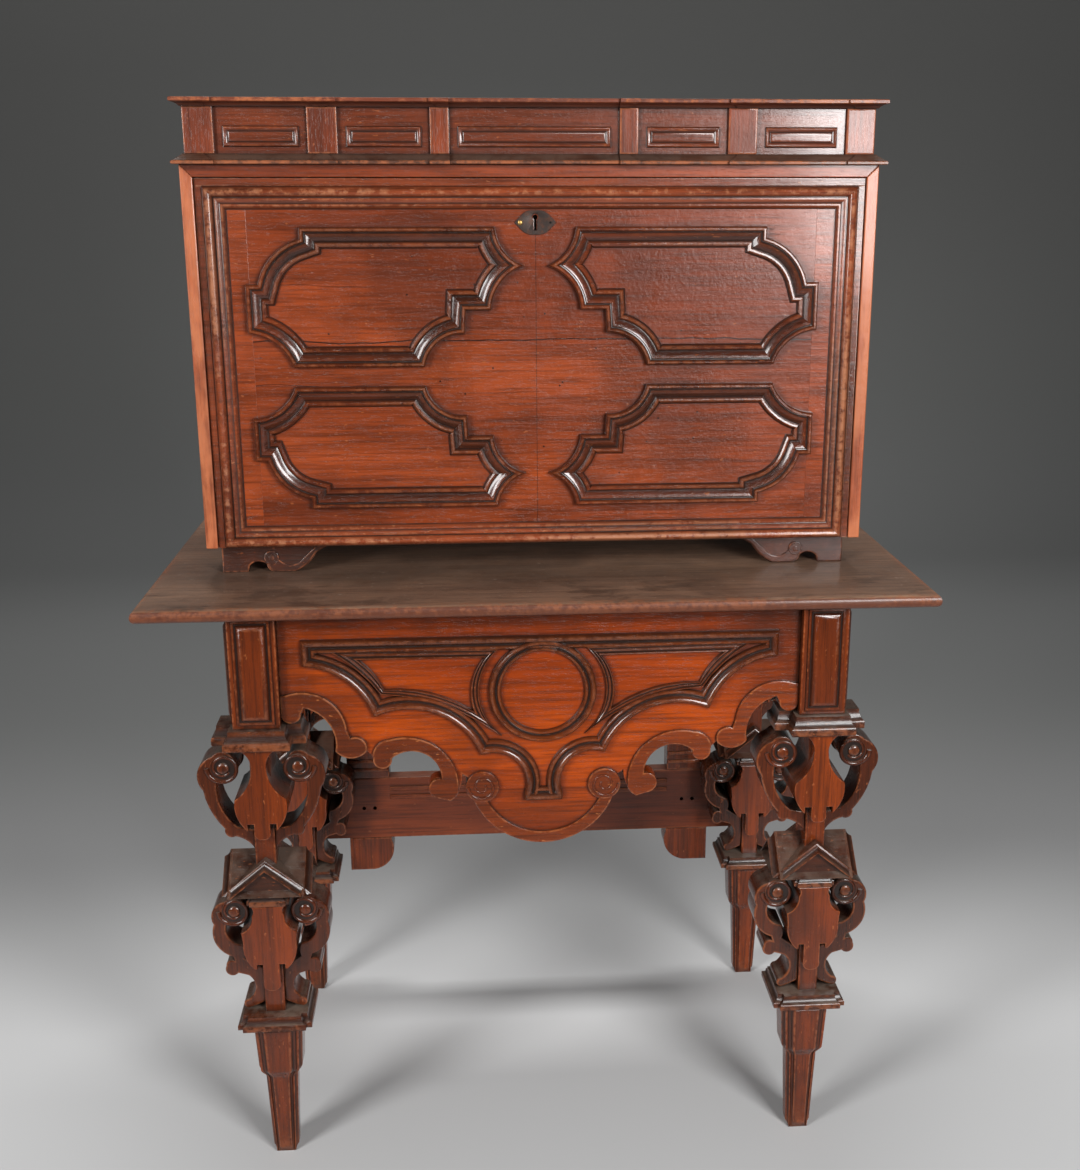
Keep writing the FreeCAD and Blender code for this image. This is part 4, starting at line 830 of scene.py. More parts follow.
def makeApron():
    half = span("front_apron", 0)[1]
    bottom, top = span("front_apron", 2)
    back = span("front_apron", 1)[1]
    face = back - apron["thickness"]
    front = face - apron["bandRelief"]
    sizes = (half, top - bottom, 0, bottom)

    def band(points, *depths):
        return carvedPlate(points, *depths, *apron["bandEase"])

    board = carvedPlate(wholeOutline(apronEdge, *sizes), face, back, apron["boardEase"])
    board.piece("apronBoard", "apron", "front_apron")
    bands = Shape()
    for start, steps in (outerBand, innerBand):
        bands.add(both(band(outlineOf(start, steps, *sizes), front, face + overlap)))
    bands.add(band(lobePoints(bottom), front, face + overlap))
    spiralX, spiralZ = half * spiralPlace[0], bottom + sizes[1] * spiralPlace[1]
    disc = circle((spiralX, spiralZ), apron["spiralRadius"], 40)
    bands.add(both(band(disc, front - apron["discLift"], back)))
    bands.piece("apronBands", "apronBand", slot="front_apron")
    volutes("apronVolutes", [(side * spiralX, front - apron["discLift"], spiralZ, side) for side in (-1, 1)],
            apronCoil, "apronBand", "front_apron")

    start = (-mainPath[0][0], mainPath[0][1])
    steps = list(mainPath) + mirroredSteps((0, mainPath[0][1]), mainPath)[:-1]
    trim = mitredMoulding(outlineRuns(start, steps, *sizes), apronProfile, apron["mouldingWidth"],
                          apron["mouldingHeight"], face)
    edges = [outlineRuns(*edge, *sizes) for edge in (spandrelOuter, spandrelInner)]
    trim.add(both(bandBetween(*edges, spandrelProfile, apron["spandrelHeight"], face)))
    trim.add(ringMoulding((0, top - apron["medallionDrop"]), apron["medallionRadius"], apronProfile,
                          apron["ringWidth"], apron["mouldingHeight"], face))
    trim.piece("apronMouldings", "apronMoulding", "apron_mouldings")
    print("front apron")


makeApron()


leg = {"blockWidth": 0.064, "blockDepth": 0.076, "blockBottom": 0.684, "blockTop": 0.844,
    "capBottom": 0.657, "upperBottom": 0.491, "pedimentBottom": 0.44, "ledgeBottom": 0.422,
    "lowerBottom": 0.248, "footTop": 0.228, "postWidth": 0.028, "postDepth": 0.06, "shieldDepth": 0.092,
    "upperShield": 0.07, "lowerShield": 0.078, "bracketDepth": 0.05, "upperReach": 0.082,
    "lowerReach": 0.08, "eyeRadius": 0.0082, "eyeHeight": 0.0045, "drumRadius": 0.0195, "plateDepth": 0.108,
    "pedimentWidth": 0.124, "pedimentBoard": 0.014, "rakeDepth": 0.009, "tympanumRise": 0.85,
    "tympanumEase": (0.0006, 0.001), "panelMargin": 0.007, "bracketEase": (0.0016, 0.0016),
    "drumLift": 0.0006, "roofCore": (0.5, 0.026), "roofEase": (0.0012, 0.0012),
    "shieldEase": (0.001, 0.0008)}
legCoil = {"Outer Radius": 0.0225, "Inner Radius": 0.0098, "Turns": 1.4, "Ridge": 0.0034}
# sizes of the cross-shaped outline, from and to which height, how far each step draws in
legPlates = (((0.128, 0.054, 0.09, 0.108), "capBottom", "blockBottom", 0.007),
    ((0.058, 0.082, 0.05, 0.092), "ledgeBottom", "pedimentBottom", 0.004),
    ((0.105, 0.092, 0.089, 0.108), "footTop", "lowerBottom", 0.007))
# from here on the last two of each level: rubbed with painted highlight, dirty with painted shade
blockPanelLevels = ((0, -0.001, 0, 1), (0, 0.0022, 0.6, 0), (0.0025, 0.0028, 0.8, 0),
    (0.0042, 0.0012, 0, 1), (0.0055, 0.0012, 0, 0.9), (0.0075, 0.0048, 0.2, 0.2), (0.0105, 0.0064, 1, 0),
    (0.012, 0.007, 0.8, 0), (0.014, 0.007, 0, 0))
bossLevels = ((1, -0.1, 0, 1), (1, 0.35, 0, 0.8), (0.96, 0.62, 0.4, 0), (0.8, 0.88, 1, 0),
    (0.52, 1, 0.6, 0), (0.18, 1, 0.2, 0))
drumLevels = ((0.8, 0, 0, 1), (0.88, 0, 0, 0.3), (0.93, 0, 0.5, 0), (1, 0.0014, 0.6, 0), (1, 0.004, 0, 0))
foot = {"widths": (0.063, 0.055, 0.038, 0.028), "shoulderDrop": 0.078, "ankleDrop": 0.098, "relief": 0.004,
    "stripTop": 0.008, "stripEnd": 0.01, "upperDrops": (0, 0.004, 0.008, 0.0095, 0.013, 0.03, 0.05, 0.068),
    "lowerDrops": (0.12, 0.15, 0.18, 0.205)}
upperShieldEdge = ((0.77, 1), (0.42, 0.94, 0.3, 0.82), (0.48, 0.68, 1, 0.56), (0.94, 0.4, 0.56, 0.28),
    (0.56, 0.34), (0.31, 0.34), (0.31, 0.27), (0.22, 0.21, 0, 0.2))
lowerShieldEdge = ((0.6, 1), (0.52, 0.96, 0.58, 0.92), (0.7, 0.82, 1, 0.77), (0.96, 0.7, 0.95, 0.66),
    (0.85, 0.52, 0.59, 0.44), (0.5, 0.44), (0.5, 0.48), (0.3, 0.48), (0.3, 0.32), (0.2, 0.25, 0, 0.24))
upperBracketEdge = ((0.29, 0.13, 0.49, 0.18), (0.61, 0.18, 0.66, 0.25), (0.87, 0.41, 0.98, 0.6),
    (1.02, 0.81, 0.8, 0.9), (0.6, 0.94, 0.43, 0.83), (0.53, 0.71, 0.73, 0.71), (0.73, 0.5, 0.44, 0.27))
lowerBracketEdge = ((0.3, 0.05, 0.475, 0.02), (0.56, 0.05, 0.475, 0.1), (0.34, 0.21, 0.45, 0.32),
    (0.625, 0.345), (0.83, 0.35, 0.83, 0.41), (0.77, 0.46, 0.675, 0.46), (0.7, 0.495), (0.97, 0.6, 1, 0.79),
    (0.92, 0.965, 0.625, 0.99), (0.43, 0.95, 0.44, 0.87), (0.52, 0.81, 0.72, 0.84),
    (0.77, 0.69, 0.59, 0.61), (0.5, 0.6), (0.475, 0.53, 0.5, 0.48))
# across the face of a foot: share of the half width, relief, rubbed with painted highlight, dirty with
# painted shade
footFace = ((-1, 0, 1, 0), (-0.9, 0, 0.2, 0), (-0.85, -0.25, 0, 1), (-0.8, 0, 0, 0.3), (-0.7, 0, 0, 0.9),
    (-0.62, 0.85, 0.5, 0), (-0.57, 1, 1, 0), (-0.5, 1, 0, 0), (0.5, 1, 0, 0), (0.57, 1, 1, 0),
    (0.62, 0.85, 0.5, 0), (0.7, 0, 0, 0.9), (0.8, 0, 0, 0.3), (0.85, -0.25, 0, 1), (0.9, 0, 0.2, 0))


def shieldPlate(edge, width, height, bottom):
    points = wholeOutline(edge, width / 2, height, 0, bottom)
    return carvedPlate(points, -leg["shieldDepth"] / 2, leg["shieldDepth"] / 2, *leg["shieldEase"])


def footWidth(drop):
    # straight from one width to the next, but for the hollow between shoulder and ankle
    drops, widths = (0, foot["shoulderDrop"], foot["ankleDrop"], leg["footTop"]), foot["widths"]
    index = sum(drop > low for low in drops[1:3])
    share = (drop - drops[index]) / (drops[index + 1] - drops[index])
    if index == 1:
        share = share * share * (3 - 2 * share)
    return widths[index] + (widths[index + 1] - widths[index]) * share


def taperedFoot():
    shape = Shape()
    top = leg["footTop"]
    strip, end = foot["stripTop"], top - foot["stripEnd"]
    drops = list(foot["upperDrops"])
    drops += [foot["shoulderDrop"] + 0.002 * step for step in range(-2, 13)]
    drops += [*foot["lowerDrops"], end - 0.003, end, top - 0.003, top - 0.0008, top]
    rings = []
    for drop in drops:
        half = footWidth(drop) / 2 - (0.0012 if drop == top else 0)
        relief = foot["relief"] * min(1, max(0, (drop - strip) / 0.004)) if drop <= end else 0
        worn = max(0, (drop - top + 0.03) / 0.03)
        ring = []
        for quarter in range(4):
            turn = Matrix.Rotation(math.pi / 2 * quarter, 3, "Z")
            for u, out, arris, hollow in footFace:
                cut = relief if out > 0 else foot["relief"]
                point = turn @ Vector((u * half, -half - out * cut, top - drop))
                ring += shape.ring([tuple(point)], max(arris, worn), hollow * (1 - worn))
        rings.append(ring)
    return shape.loft(rings)


def upright(width, depth, z, bevel=0.0012):
    return easedBox((-width / 2, width / 2), (-depth / 2, depth / 2), z, bevel)


def stackedPlate(outline, levels):
    # an outline in X and Y, drawn in at each height: inset, z, rubbed with painted highlight, dirty with
    # painted shade
    return lofted([([(x, y, z) for x, y in insetOutline(outline, inset)], arris, hollow)
                   for inset, z, arris, hollow in levels])


def crossOutline(width, wings, breakWidth, depth):
    a, b, c, d = width / 2, wings / 2, breakWidth / 2, depth / 2
    return [(-c, -d), (c, -d), (c, -b), (a, -b), (a, b), (c, b), (c, d), (-c, d),
            (-c, b), (-a, b), (-a, -b), (-c, -b)]


def plateLevels(low, high, step):
    # a flat lip, then a hollow slope up to a narrower fillet
    rise = high - low
    shares = ((0.14, 0, 0.3, 0), (0, 0.05, 1, 0), (0, 0.34, 1, 0), (0.12, 0.42, 0.9, 0),
              (0.36, 0.47, 0.1, 0.4), (0.66, 0.56, 0, 0.7), (0.86, 0.72, 0, 0.5), (1, 0.84, 0.4, 0),
              (1, 1, 0.3, 0))
    return [(inset * step, low + share * rise, arris, hollow) for inset, share, arris, hollow in shares]


def steppedPanel(x, z, faceY, levels):
    # rings drawn in from a rectangle on a face that looks to -Y: inset, height, marks
    return lofted([(atDepth(rectangle(x, z, inset), faceY - height), *marks)
                   for inset, height, *marks in levels])


# across a raking cornice, from its lower arris to its top edge: share across, share
# of its depth set back, rubbed with painted highlight, dirty with painted shade
rakeSection = ((0, 0, 1, 0), (0.14, 0, 1, 0), (0.2, 0.1, 0.3, 0), (0.36, 0.52, 0, 0.7), (0.6, 0.82, 0, 0.4),
    (0.86, 0.97, 0.2, 0), (0.93, 1, 0.8, 0), (1, 1.06, 0.5, 0), (1, 1.3, 0, 0), (0, 1.3, 0, 1))


def rakingCornice(halfWidth, rise, y):
    # two raking lengths that meet at the peak, their front sloping back to the top
    depth, bottom, board = leg["rakeDepth"], leg["pedimentBottom"], leg["pedimentBoard"]
    lines = []
    for across, back, arris, hollow in rakeSection:
        share = 1 - board / halfWidth * (1 - across)
        reach = halfWidth * share
        line = [(-reach, bottom), (0, bottom + rise * share), (reach, bottom)]
        lines.append((atDepth(line, y + back * depth), arris, hollow))
    return lofted(lines, False, False)


def gableRoof():
    shape = Shape()
    bottom, board = leg["pedimentBottom"], leg["pedimentBoard"]
    rise = leg["upperBottom"] - bottom
    for width, length, turn in ((leg["pedimentWidth"], leg["plateDepth"], 0),
                                (leg["plateDepth"], leg["pedimentWidth"], math.pi / 2)):
        half, end = width / 2, length / 2
        inside = end - leg["rakeDepth"] * 1.2
        inner = half - board
        chevron = [(-half, bottom), (-inner, bottom), (0, bottom + rise * inner / half), (inner, bottom),
                   (half, bottom), (0, bottom + rise)]
        part = carvedPlate(chevron, -inside, inside, *leg["roofEase"])
        rake = rakingCornice(half, rise, -end)
        part.add(rake).add(rake, Matrix.Rotation(math.pi, 4, "Z"))
        shape.add(part, Matrix.Rotation(turn, 4, "Z"))
    return shape


def legCore():
    shape = upright(leg["blockWidth"], leg["blockDepth"], (leg["blockBottom"], leg["blockTop"]))
    shape.add(upright(leg["postWidth"], leg["postDepth"], (leg["footTop"], leg["blockBottom"])))
    for edge, width, low, high in ((upperShieldEdge, "upperShield", "upperBottom", "capBottom"),
                                   (lowerShieldEdge, "lowerShield", "lowerBottom", "ledgeBottom")):
        shape.add(shieldPlate(edge, leg[width], leg[high] - leg[low], leg[low]))
    return shape.add(taperedFoot())


def eyeBoss(centre, yFace, side, radius, height):
    # a round button on a face; side is -1 to the front, 1 to the back
    return turnedRound(centre, [(radius * across, yFace + side * out * height, arris, hollow)
                                for across, out, arris, hollow in bossLevels], 20)


def coilDrum(centre, yFace):
    # the rolled end of a scroll, from its front face to its back one
    half = [(leg["drumRadius"] * across, back - yFace, *marks) for across, back, *marks in drumLevels]
    return turnedRound(centre, half + [(radius, -y, *marks) for radius, y, *marks in half[::-1]], 40)


def legBrackets():
    # the brackets of one leg, and the places of their volutes
    shape = Shape()
    places = []
    half = leg["bracketDepth"] / 2
    for edge, meeting, eye, reach, bottom, top in (
            (upperBracketEdge, (0.05, 0.24), (0.62, 0.8), "upperReach", "upperBottom", "capBottom"),
            (lowerBracketEdge, (0.08, 0.38), (0.62, 0.91), "lowerReach", "lowerBottom", "ledgeBottom")):
        reach, bottom, height = leg[reach], leg[bottom], leg[top] - leg[bottom]
        share = leg["postWidth"] / 2 / reach
        steps = edge + ((share, meeting[1]), (share, meeting[0]))
        outline = outlineOf((share, meeting[0]), steps, reach, height, 0, bottom)
        plate = carvedPlate(outline, -half, half, *leg["bracketEase"])
        x, z = reach * eye[0], bottom + height * eye[1]
        plate.add(coilDrum((x, z), half + leg["drumLift"]))
        for side in (-1, 1):
            plate.add(eyeBoss((x, z), side * half, side, leg["eyeRadius"], leg["eyeHeight"]))
            places += [(hand * x, side * half, z, hand) for hand in (1, -1)]
        shape.add(both(plate))
    return shape, places


def legTrims():
    shape = gableRoof()
    deep, bottom = leg["shieldDepth"], leg["pedimentBottom"]
    inner = leg["pedimentWidth"] - 2 * leg["pedimentBoard"]
    peak = bottom + (leg["upperBottom"] - bottom) * leg["tympanumRise"]
    share, height = leg["roofCore"]
    shape.add(upright(inner * share, deep - 0.004, (bottom, bottom + height)))
    for half, depth, turn in ((inner / 2 + 0.004, deep, 0), (deep / 2 - 0.006, inner, math.pi / 2)):
        tympanum = carvedPlate([(-half, bottom), (half, bottom), (0, peak)], -depth / 2, depth / 2,
                               *leg["tympanumEase"])
        shape.add(tympanum, Matrix.Rotation(turn, 4, "Z"))
    for sizes, low, high, step in legPlates:
        shape.add(stackedPlate(crossOutline(*sizes), plateLevels(leg[low], leg[high], step)))
    return shape


def blockPanels():
    # raised panels on the two outward faces of a leg's block
    shape = Shape()
    margin = leg["panelMargin"]
    for wide, deep, turn in (("blockWidth", "blockDepth", 0), ("blockDepth", "blockWidth", -math.pi / 2)):
        half = leg[wide] / 2 - margin
        part = steppedPanel((-half, half), (leg["blockBottom"] + margin, leg["blockTop"] - margin),
                            -leg[deep] / 2, blockPanelLevels)
        shape.add(part, Matrix.Rotation(turn, 4, "Z"))
    return shape


def makeLegs():
    brackets, places = legBrackets()
    core, trims, panels = legCore(), legTrims(), blockPanels()
    coils = []
    for side in ("left", "right"):
        for end in ("front", "rear"):
            name = end + "_" + side
            low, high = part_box("leg_scrolls_" + name)
            x, y = (low[0] + high[0]) / 2, (low[1] + high[1]) / 2
            place = Matrix.Translation((x, y, 0))
            flip = place @ Matrix.Diagonal((-1 if side == "right" else 1, -1 if end == "rear" else 1, 1, 1))
            for label, master, turned, finish in (("leg_", core, place, "leg"),
                                                  ("leg_scrolls_", brackets, place, "legScroll"),
                                                  ("leg_mouldings_", trims, flip, "legTrim")):
                Shape().add(master, turned).piece(label + name + "_carved", finish, label + name)
            Shape().add(panels, flip).piece("leg_panels_" + name, "legPanel", slot="leg_mouldings_" + name)
            coils += [(x + vx, y + vy, vz, hand) for vx, vy, vz, hand in places]
    volutes("legVolutes", coils, legCoil, "legScroll", "leg_front_left")
    print("legs")


makeLegs()


def dressBoard(node, body="stand_and_case", ease=0.0014):
    # the node's own shape with its arrises eased and marked
    source = nodes[node]
    mesh = bmesh.new()
    mesh.from_mesh(source.data)
    mesh.transform(source.matrix_world)
    bmesh.ops.remove_doubles(mesh, verts=mesh.verts, dist=1e-6)
    bmesh.ops.dissolve_limit(mesh, angle_limit=math.radians(1), verts=mesh.verts, edges=mesh.edges)
    arris = mesh.verts.layers.float.new("arris")
    mesh.verts.layers.float.new("hollow")
    sharp = [edge for edge in mesh.edges
             if len(edge.link_faces) == 2 and edge.calc_face_angle(0) > math.radians(35)]
    made = bmesh.ops.bevel(mesh, geom=sharp, offset=ease, offset_type="OFFSET", segments=2, profile=0.5,
                           affect="EDGES", clamp_overlap=True)
    eased = set(made["faces"])
    for vert in made["verts"]:
        if all(face in eased and face.calc_area() < 4e-4 for face in vert.link_faces):
            vert[arris] = 1
    bmesh.ops.triangulate(mesh, faces=[face for face in mesh.faces if len(face.verts) > 4])
    dressed = bpy.data.meshes.new(node + "_dressed")
    mesh.to_mesh(dressed)
    mesh.free()
    dressed.materials.append(finishOf(node))
    dressed.set_sharp_from_angle(angle=math.radians(20))
    # large flat faces keep their own normal
    for face in dressed.polygons:
        face.use_smooth = face.area < 4e-5
    kept(node + "_dressed", dressed, body, node)


def dressBoards():
    for node in ("case_side_left", "case_side_right", "case_top", "case_bottom", "case_back", "rear_feet",
                 "frieze_carcase", "frieze_top", "rear_top_rail", "nest_uprights", "nest_shelves"):
        dressBoard(node)
    for node in ("fall_board", "fall_clamps"):
        dressBoard(node, "fall", 0.0003)
    dressBoard("frieze_drawer_box", "frieze_drawer")
    print("plain boards")


dressBoards()


frieze = {"halfWidth": 0.453, "drawerHalf": 0.111, "gap": 0.0003, "innerPilaster": 0.026, "pilaster": 0.04,
    "relief": 0.006, "board": 0.014, "ledgeOverhang": 0.014, "corniceOverhang": 0.012, "break": 0.005,
    "panelMargin": 0.01, "panelLift": 0.008, "panelHeight": 0.027, "ledge": 0.013, "cornice": 0.011,
    "pilasterSeam": 0.0008, "pilasterEase": (0.0012, 0.0016), "boardEase": (0.0004, 0.0004),
    "drawerEase": (0.0005, 0.0006)}
# how far in, share of the height, rubbed with painted highlight, dirty with painted shade
ledgeLevels = ((0.001, 0, 0.4, 0), (0, 0.07, 1, 0), (0, 0.26, 1, 0), (0.001, 0.36, 0.8, 0),
    (0.0028, 0.4, 0.1, 0.6), (0.005, 0.52, 0, 0.7), (0.0085, 0.7, 0, 0.6), (0.012, 0.9, 0, 0.8),
    (0.0132, 1, 0, 1))
corniceLevels = ((0.011, 0, 0, 1), (0.0095, 0.18, 0, 0.8), (0.006, 0.36, 0, 0.6), (0.003, 0.44, 0.2, 0.5),
    (0.001, 0.5, 0.6, 0.1), (0, 0.58, 1, 0), (0, 0.88, 1, 0), (0.0008, 0.97, 1, 0), (0.003, 1, 0.5, 0))
friezePanelLevels = ((0, -0.0006, 0, 1), (0.0006, 0.0008, 0, 1), (0.0014, 0.003, 0.5, 0.2),
    (0.0022, 0.0038, 1, 0), (0.003, 0.004, 0.5, 0), (0.0046, 0.0034, 0.1, 0.2), (0.0066, 0.0016, 0, 0.8),
    (0.0074, 0.0012, 0, 1), (0.0084, 0.0018, 0.3, 0.3), (0.0096, 0.0019, 0, 0.1), (0.011, 0.0019, 0, 0))


def profiledPlate(outline, moulded, z, levels):
    # drawn in along the moulded edges alone; every corner is square
    rings = []
    for inset, share, arris, hollow in levels:
        ring = []
        for index, (x, y) in enumerate(outline):
            for place, edge in ((index - 1, (index - 1) % len(outline)), (index, index)):
                tx, ty = unit(outline[place], outline[(place + 1) % len(outline)])
                depth = inset if edge in moulded else 0
                x, y = x - ty * depth, y + tx * depth
            ring.append((x, y, z[0] + share * (z[1] - z[0])))
        rings.append((ring, arris, hollow))
    return lofted(rings)


def friezeBays():
    # the pilasters and the fields between them, to the right of the drawer
    inner = (frieze["drawerHalf"], frieze["drawerHalf"] + frieze["innerPilaster"])
    bay = (frieze["halfWidth"] - inner[1] - 2 * frieze["pilaster"]) / 2
    centre = (inner[1] + bay, inner[1] + bay + frieze["pilaster"])
    outer = (frieze["halfWidth"] - frieze["pilaster"], frieze["halfWidth"])
    return (inner, centre, outer), ((inner[1], centre[0]), (centre[1], outer[0]))


def strip(overhang, z, levels):
    # the ledge or the cornice, broken forward over the pilasters
    front, inner = span("frieze_front_right", 1)
    front -= overhang
    forward = front - frieze["break"]
    back = span("case_back", 1)[1]
    start, board = frieze["drawerHalf"], frieze["halfWidth"] - frieze["board"]
    outline = []
    for low, high in friezeBays()[0]:
        outline += [(low, front), (low, forward), (high, forward), (high, front)]
    end = frieze["halfWidth"] + overhang
    outline = outline[1:-2] + [(end, forward), (end, back), (board, back), (board, inner), (start, inner)]
    return both(profiledPlate(outline, range(10), z, levels))


def makeFrieze():
    faceY, innerY = span("frieze_front_right", 1)
    fieldY = faceY + frieze["relief"]
    z = span("frieze_front_right", 2)
    pilasters, fields = friezeBays()

    def board(low, high, panels, *ease):
        # a stretch of the frieze with a raised panel in each field
        shape = easedBox((low, high), (fieldY, innerY), z, *ease)
        base, margin = z[0] + frieze["panelLift"], frieze["panelMargin"]
        for first, last in panels:
            shape.add(steppedPanel((first + margin, last - margin), (base, base + frieze["panelHeight"]),
                                   fieldY, friezePanelLevels))
        return shape

    right = board(frieze["drawerHalf"], frieze["halfWidth"], fields, *frieze["boardEase"])
    right.piece("friezeRight", "frieze", "frieze_front_right")
    mirrored(right).piece("friezeLeft", "frieze", "frieze_front_left")
    posts, seam = Shape(), frieze["pilasterSeam"]
    for low, high in pilasters:
        posts.add(easedBox((low + seam, high - seam), (faceY, fieldY + 4 * overlap), z,
                           *frieze["pilasterEase"]))
    both(posts).piece("friezePilasters", "caseUpright", slot="frieze_front_left")
    half = frieze["drawerHalf"] - frieze["gap"]
    strips = (("ledge", frieze["ledgeOverhang"], z[0] - frieze["ledge"], z[0], frieze["gap"], ledgeLevels),
              ("cornice", frieze["corniceOverhang"], z[1], z[1] + frieze["cornice"], 0, corniceLevels))
    for name, overhang, low, high, gap, levels in strips:
        strip(overhang, (low, high), levels).piece(name, name, name + "_moulding")
    for name, overhang, low, high, gap, levels in strips:
        outline = rectangle((-half, half), (faceY - overhang, innerY))
        part = profiledPlate(outline, {0}, (low + gap, high), levels)
        part.piece("frieze_drawer_" + name, name, None, "frieze_drawer", "frieze_drawer_front")
    front = board(-half, half, [(-half, half)], *frieze["drawerEase"])
    front.piece("friezeDrawerFront", "frieze", "frieze_drawer_front", "frieze_drawer")
    print("frieze")


makeFrieze()


caseFoot = {"width": 0.18, "return": 0.11, "board": 0.018, "eyePlace": (0.385, 0.47), "eyeRadius": 0.0042,
    "eyeHeight": 0.0008, "ease": 0.0014, "relief": 0.0026, "discRadius": 0.0105,
    "bandEase": (0.001, 0.0012), "bandSink": 0.0008, "discSink": 0.0006}
footCoil = {"Outer Radius": 0.0093, "Inner Radius": 0.0062, "Turns": 1.15, "Ridge": 0.0007}
footBandEdge = ((0.57, 0.015), (0.65, 0.23, 0.73, 0.62), (0.79, 0.78, 0.9, 0.885), (0.81, 0.915),
    (0.745, 0.86), (0.69, 0.66, 0.63, 0.43), (0.56, 0.24, 0.47, 0.32), (0.44, 0.42), (0.375, 0.4),
    (0.355, 0.28), (0.37, 0.11), (0.425, 0.015))
bracketFootEdge = ((0, 1), (1, 1), (1, 0.92), (0.84, 0.84, 0.74, 0.62), (0.66, 0.22, 0.57, 0), (0.42, 0),
    (0.36, 0.08, 0.345, 0.24), (0.27, 0.34, 0.21, 0.2), (0.2, 0), (0, 0))


def makeCaseFeet():
    (x, y, bottom), (_, _, top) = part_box("bracket_foot_left")
    height, board, ease = top - bottom, caseFoot["board"], caseFoot["ease"]
    face = y + caseFoot["relief"]
    sizes = (caseFoot["width"], height, x, bottom)
    left = carvedPlate(outlineOf((0, 0), bracketFootEdge, *sizes), face, y + board, ease, ease)
    eye = (x + caseFoot["eyePlace"][0] * caseFoot["width"], bottom + caseFoot["eyePlace"][1] * height)
    for points, front in ((outlineOf((0.425, 0.015), footBandEdge, *sizes), y + caseFoot["bandSink"]),
                          (circle(eye, caseFoot["discRadius"], 36), y + caseFoot["discSink"])):
        left.add(carvedPlate(points, front, face + overlap, *caseFoot["bandEase"], False))
    left.add(eyeBoss(eye, y + caseFoot["eyeHeight"], -1, caseFoot["eyeRadius"], caseFoot["eyeHeight"]))
    points = outlineOf((0, 0), bracketFootEdge, caseFoot["return"], height, y + board, bottom)
    left.add(carvedPlate(points, -x - board, -x, ease, ease), Matrix.Rotation(math.pi / 2, 4, "Z"))
    left.piece("bracketFootLeft", "caseFoot", "bracket_foot_left")
    mirrored(left).piece("bracketFootRight", "caseFoot", "bracket_foot_right")
    volutes("footVolutes", [(hand * eye[0], y + caseFoot["bandSink"], eye[1], hand) for hand in (1, -1)],
            footCoil, "caseFoot", "bracket_foot_left")
    print("case feet")


makeCaseFeet()


tableTop = {"nose": 0.008, "steps": 6}


def makeTableTop():
    low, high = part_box("table_top")
    nose, steps = tableTop["nose"], tableTop["steps"]
    angles = [math.pi / 2 * step / steps for step in range(steps + 1)]
    levels = [(nose + 0.004, low[2], 0, 0.2)]
    levels += [(nose * (1 - math.sin(a)), low[2] + nose * (1 - math.cos(a)), 0.35, 0) for a in angles]
    levels += [(nose * (1 - math.cos(a)), high[2] - nose * (1 - math.sin(a)), 0.8, 0) for a in angles]
    levels += [(nose + 0.003, high[2], 0.3, 0), (nose + 0.01, high[2], 0, 0)]
    outline = rectangle((low[0], high[0]), (low[1], high[1]))
    stackedPlate(outline, levels).piece("tableTop", "top", "table_top")
    print("table top")


makeTableTop()


rear = {"railThickness": 0.028, "postWidth": 0.074, "stretcher": (0.274, 0.388), "reedPitch": 0.016,
    "sideThickness": 0.024, "railEase": 0.0014, "sideEase": 0.0012, "reedHalf": 0.004, "fillet": 0.008}
sideApronEdge = ((1, 1), (1, 0), (0.88, 0.06, 0.82, 0.34), (0.66, 0.2, 0.48, 0.42), (0.26, 0.6, 0, 0.62))
# the drop below the stretcher; the upper length is plain
rearPostEdge = ((1, 1), (1, 0.9), (0.86, 0.16, 0.55, 0), (0, 0), (0, 1))
filletLevels = ((0, -0.001, 0, 1), (0, 0.0016, 0.6, 0.2), (0.001, 0.0027, 1, 0), (0.0024, 0.003, 0.3, 0))
reedLevels = ((0, -0.001, 0, 1), (0.0006, 0.001, 0.5, 0.2), (0.0018, 0.0022, 1, 0),
    (0.003, 0.0025, 0.8, 0))


def makeSideAprons():
    low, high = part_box("side_aprons")
    points = wholeOutline(sideApronEdge, high[1], high[2] - low[2], 0, low[2])
    plate = carvedPlate(points, -high[0], -high[0] + rear["sideThickness"], rear["sideEase"])
    side = Shape().add(plate, Matrix.Rotation(math.pi / 2, 4, "Z"))
    both(side).piece("sideAprons", "rail", "side_aprons")


def makeRearFrame():
    low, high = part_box("rear_posts")
    strap = span("rear_stretcher", 1)[1]
    front = strap - rear["railThickness"]
    wide, (under, over) = rear["postWidth"], rear["stretcher"]
    outline = outlineOf((0, 1), rearPostEdge, wide, under - low[2], low[0], low[2])
    post = carvedPlate(outline, front, high[1])
    x = (low[0], low[0] + wide)
    post.add(easedBox(x, (front, high[1]), (over, high[2])))
    post.add(easedBox(x, (strap, high[1]), rear["stretcher"]))
    for count in (1, 2):
        centre = over + count * rear["reedPitch"]
        post.add(steppedPanel(x, (centre - rear["reedHalf"], centre + rear["reedHalf"]), front, reedLevels))
    both(post).piece("rearPosts", "leg", "rear_posts")
    half = high[0] - wide
    rail = easedBox(span("rear_stretcher", 0), (front, strap), rear["stretcher"], rear["railEase"])
    for count in (1, 2):
        top = over - count * rear["reedPitch"]
        rail.add(steppedPanel((-half, half), (top - rear["fillet"], top), front, filletLevels))
    rail.piece("rearStretcher", "rail", "rear_stretcher")
    print("side aprons and rear frame")


makeSideAprons()
makeRearFrame()


